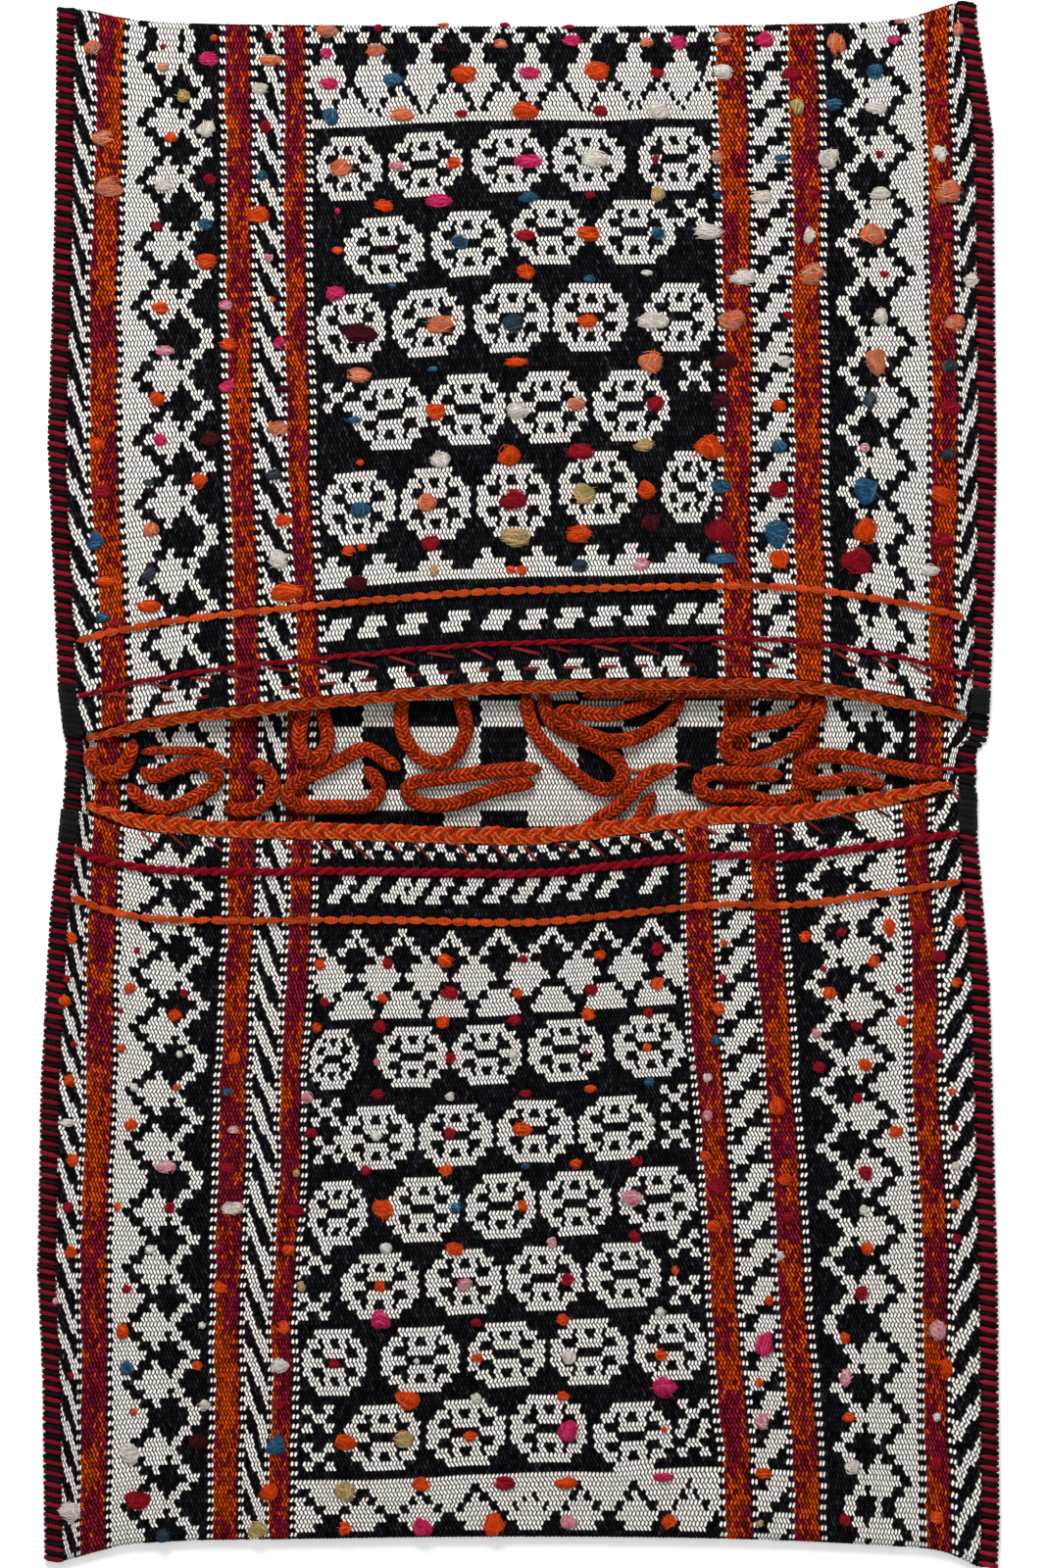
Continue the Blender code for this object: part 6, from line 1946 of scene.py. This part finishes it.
loose_yarn(
    "loose_yarn_black",
    (
        (716, 790, 0.004), (709, 783, 0.004), (700, 785, 0.002), (694, 791, 0), (692, 799, 0), (697, 806, 0),
        (706, 808, 0), (710, 802, 0.001), (704, 797, 0.001),
    ),
    0.0012,
    "soot",
)
loose_yarn(
    "loose_yarn_red",
    (
        (934, 790, 0.004), (946, 789, 0.003), (958, 786, 0.001), (969, 784, 0), (979, 787, 0), (988, 785, 0),
        (996, 787, 0),
    ),
    0.0012,
    "crimson",
)
loose_yarn(
    "loose_yarn_middle",
    (
        (704, 782, 0.001), (694, 780, 0.003), (682, 784, 0.003), (668, 781, 0), (654, 787, 0), (638, 785, 0),
    ),
    0.0009,
    "rust",
)
hem_row("hem_upper_outer", UPPER, 41, 25, 9, 41, 10, 61)
hem_row("hem_upper_inner", UPPER, 19, 15, 0, 41, 22, 62)
hem_row("hem_lower", LOWER, 8, 19, 15, 36, 6, 63)
make_tufts("upper", UPPER, UPPER_TUFTS, 81)
make_tufts("lower", LOWER, LOWER_TUFTS, 82)


# Stage and light

def make_stage():
    size = 6.0
    points = np.array([(-size, -size, 0), (size, -size, 0), (size, size, 0), (-size, size, 0)], float)
    material = bpy.data.materials.new("pale_floor")
    material.use_nodes = True
    tree = material.node_tree
    tree.nodes.clear()
    paper = node(tree, "ShaderNodeBsdfDiffuse", {"Color": (0.92, 0.92, 0.92, 1)})
    seen = node(tree, "ShaderNodeLightPath").outputs["Is Camera Ray"]
    glow = node(tree, "ShaderNodeEmission", {"Color": (1, 1, 1, 1), "Strength": maths(tree, "MULTIPLY", seen, 0.2)})
    both = node(tree, "ShaderNodeAddShader", {0: paper.outputs[0], 1: glow.outputs[0]})
    out = node(tree, "ShaderNodeOutputMaterial", {"Surface": both.outputs[0]})
    floor = new_mesh("floor", points, np.array([[0, 1, 2, 3]]), material)
    floor.location.z = -0.0002


def make_lights():
    world = bpy.data.worlds.new("studio")
    world.use_nodes = True
    world.node_tree.nodes["Background"].inputs["Color"].default_value = (1, 1, 1, 1)
    world.node_tree.nodes["Background"].inputs["Strength"].default_value = 0.55
    bpy.context.scene.world = world
    for name, place, power, size in (
        ("key", (-0.35, 1.5, 1.7), 46.0, 0.9),
        ("fill", (0.9, -0.9, 2.2), 8.5, 1.6),
    ):
        data = bpy.data.lights.new(name, "AREA")
        data.energy = power
        data.size = size
        lamp = bpy.data.objects.new(name, data)
        lamp.location = place
        aim = np.array([0.0, 0.0, 0.0]) - np.array(place)
        flat = math.hypot(aim[0], aim[1])
        lamp.rotation_euler = (math.atan2(flat, -aim[2]), 0, math.atan2(aim[1], aim[0]) - math.pi / 2)
        bpy.context.scene.collection.objects.link(lamp)


make_stage()
make_lights()
bpy.context.scene.view_settings.view_transform = "Standard"
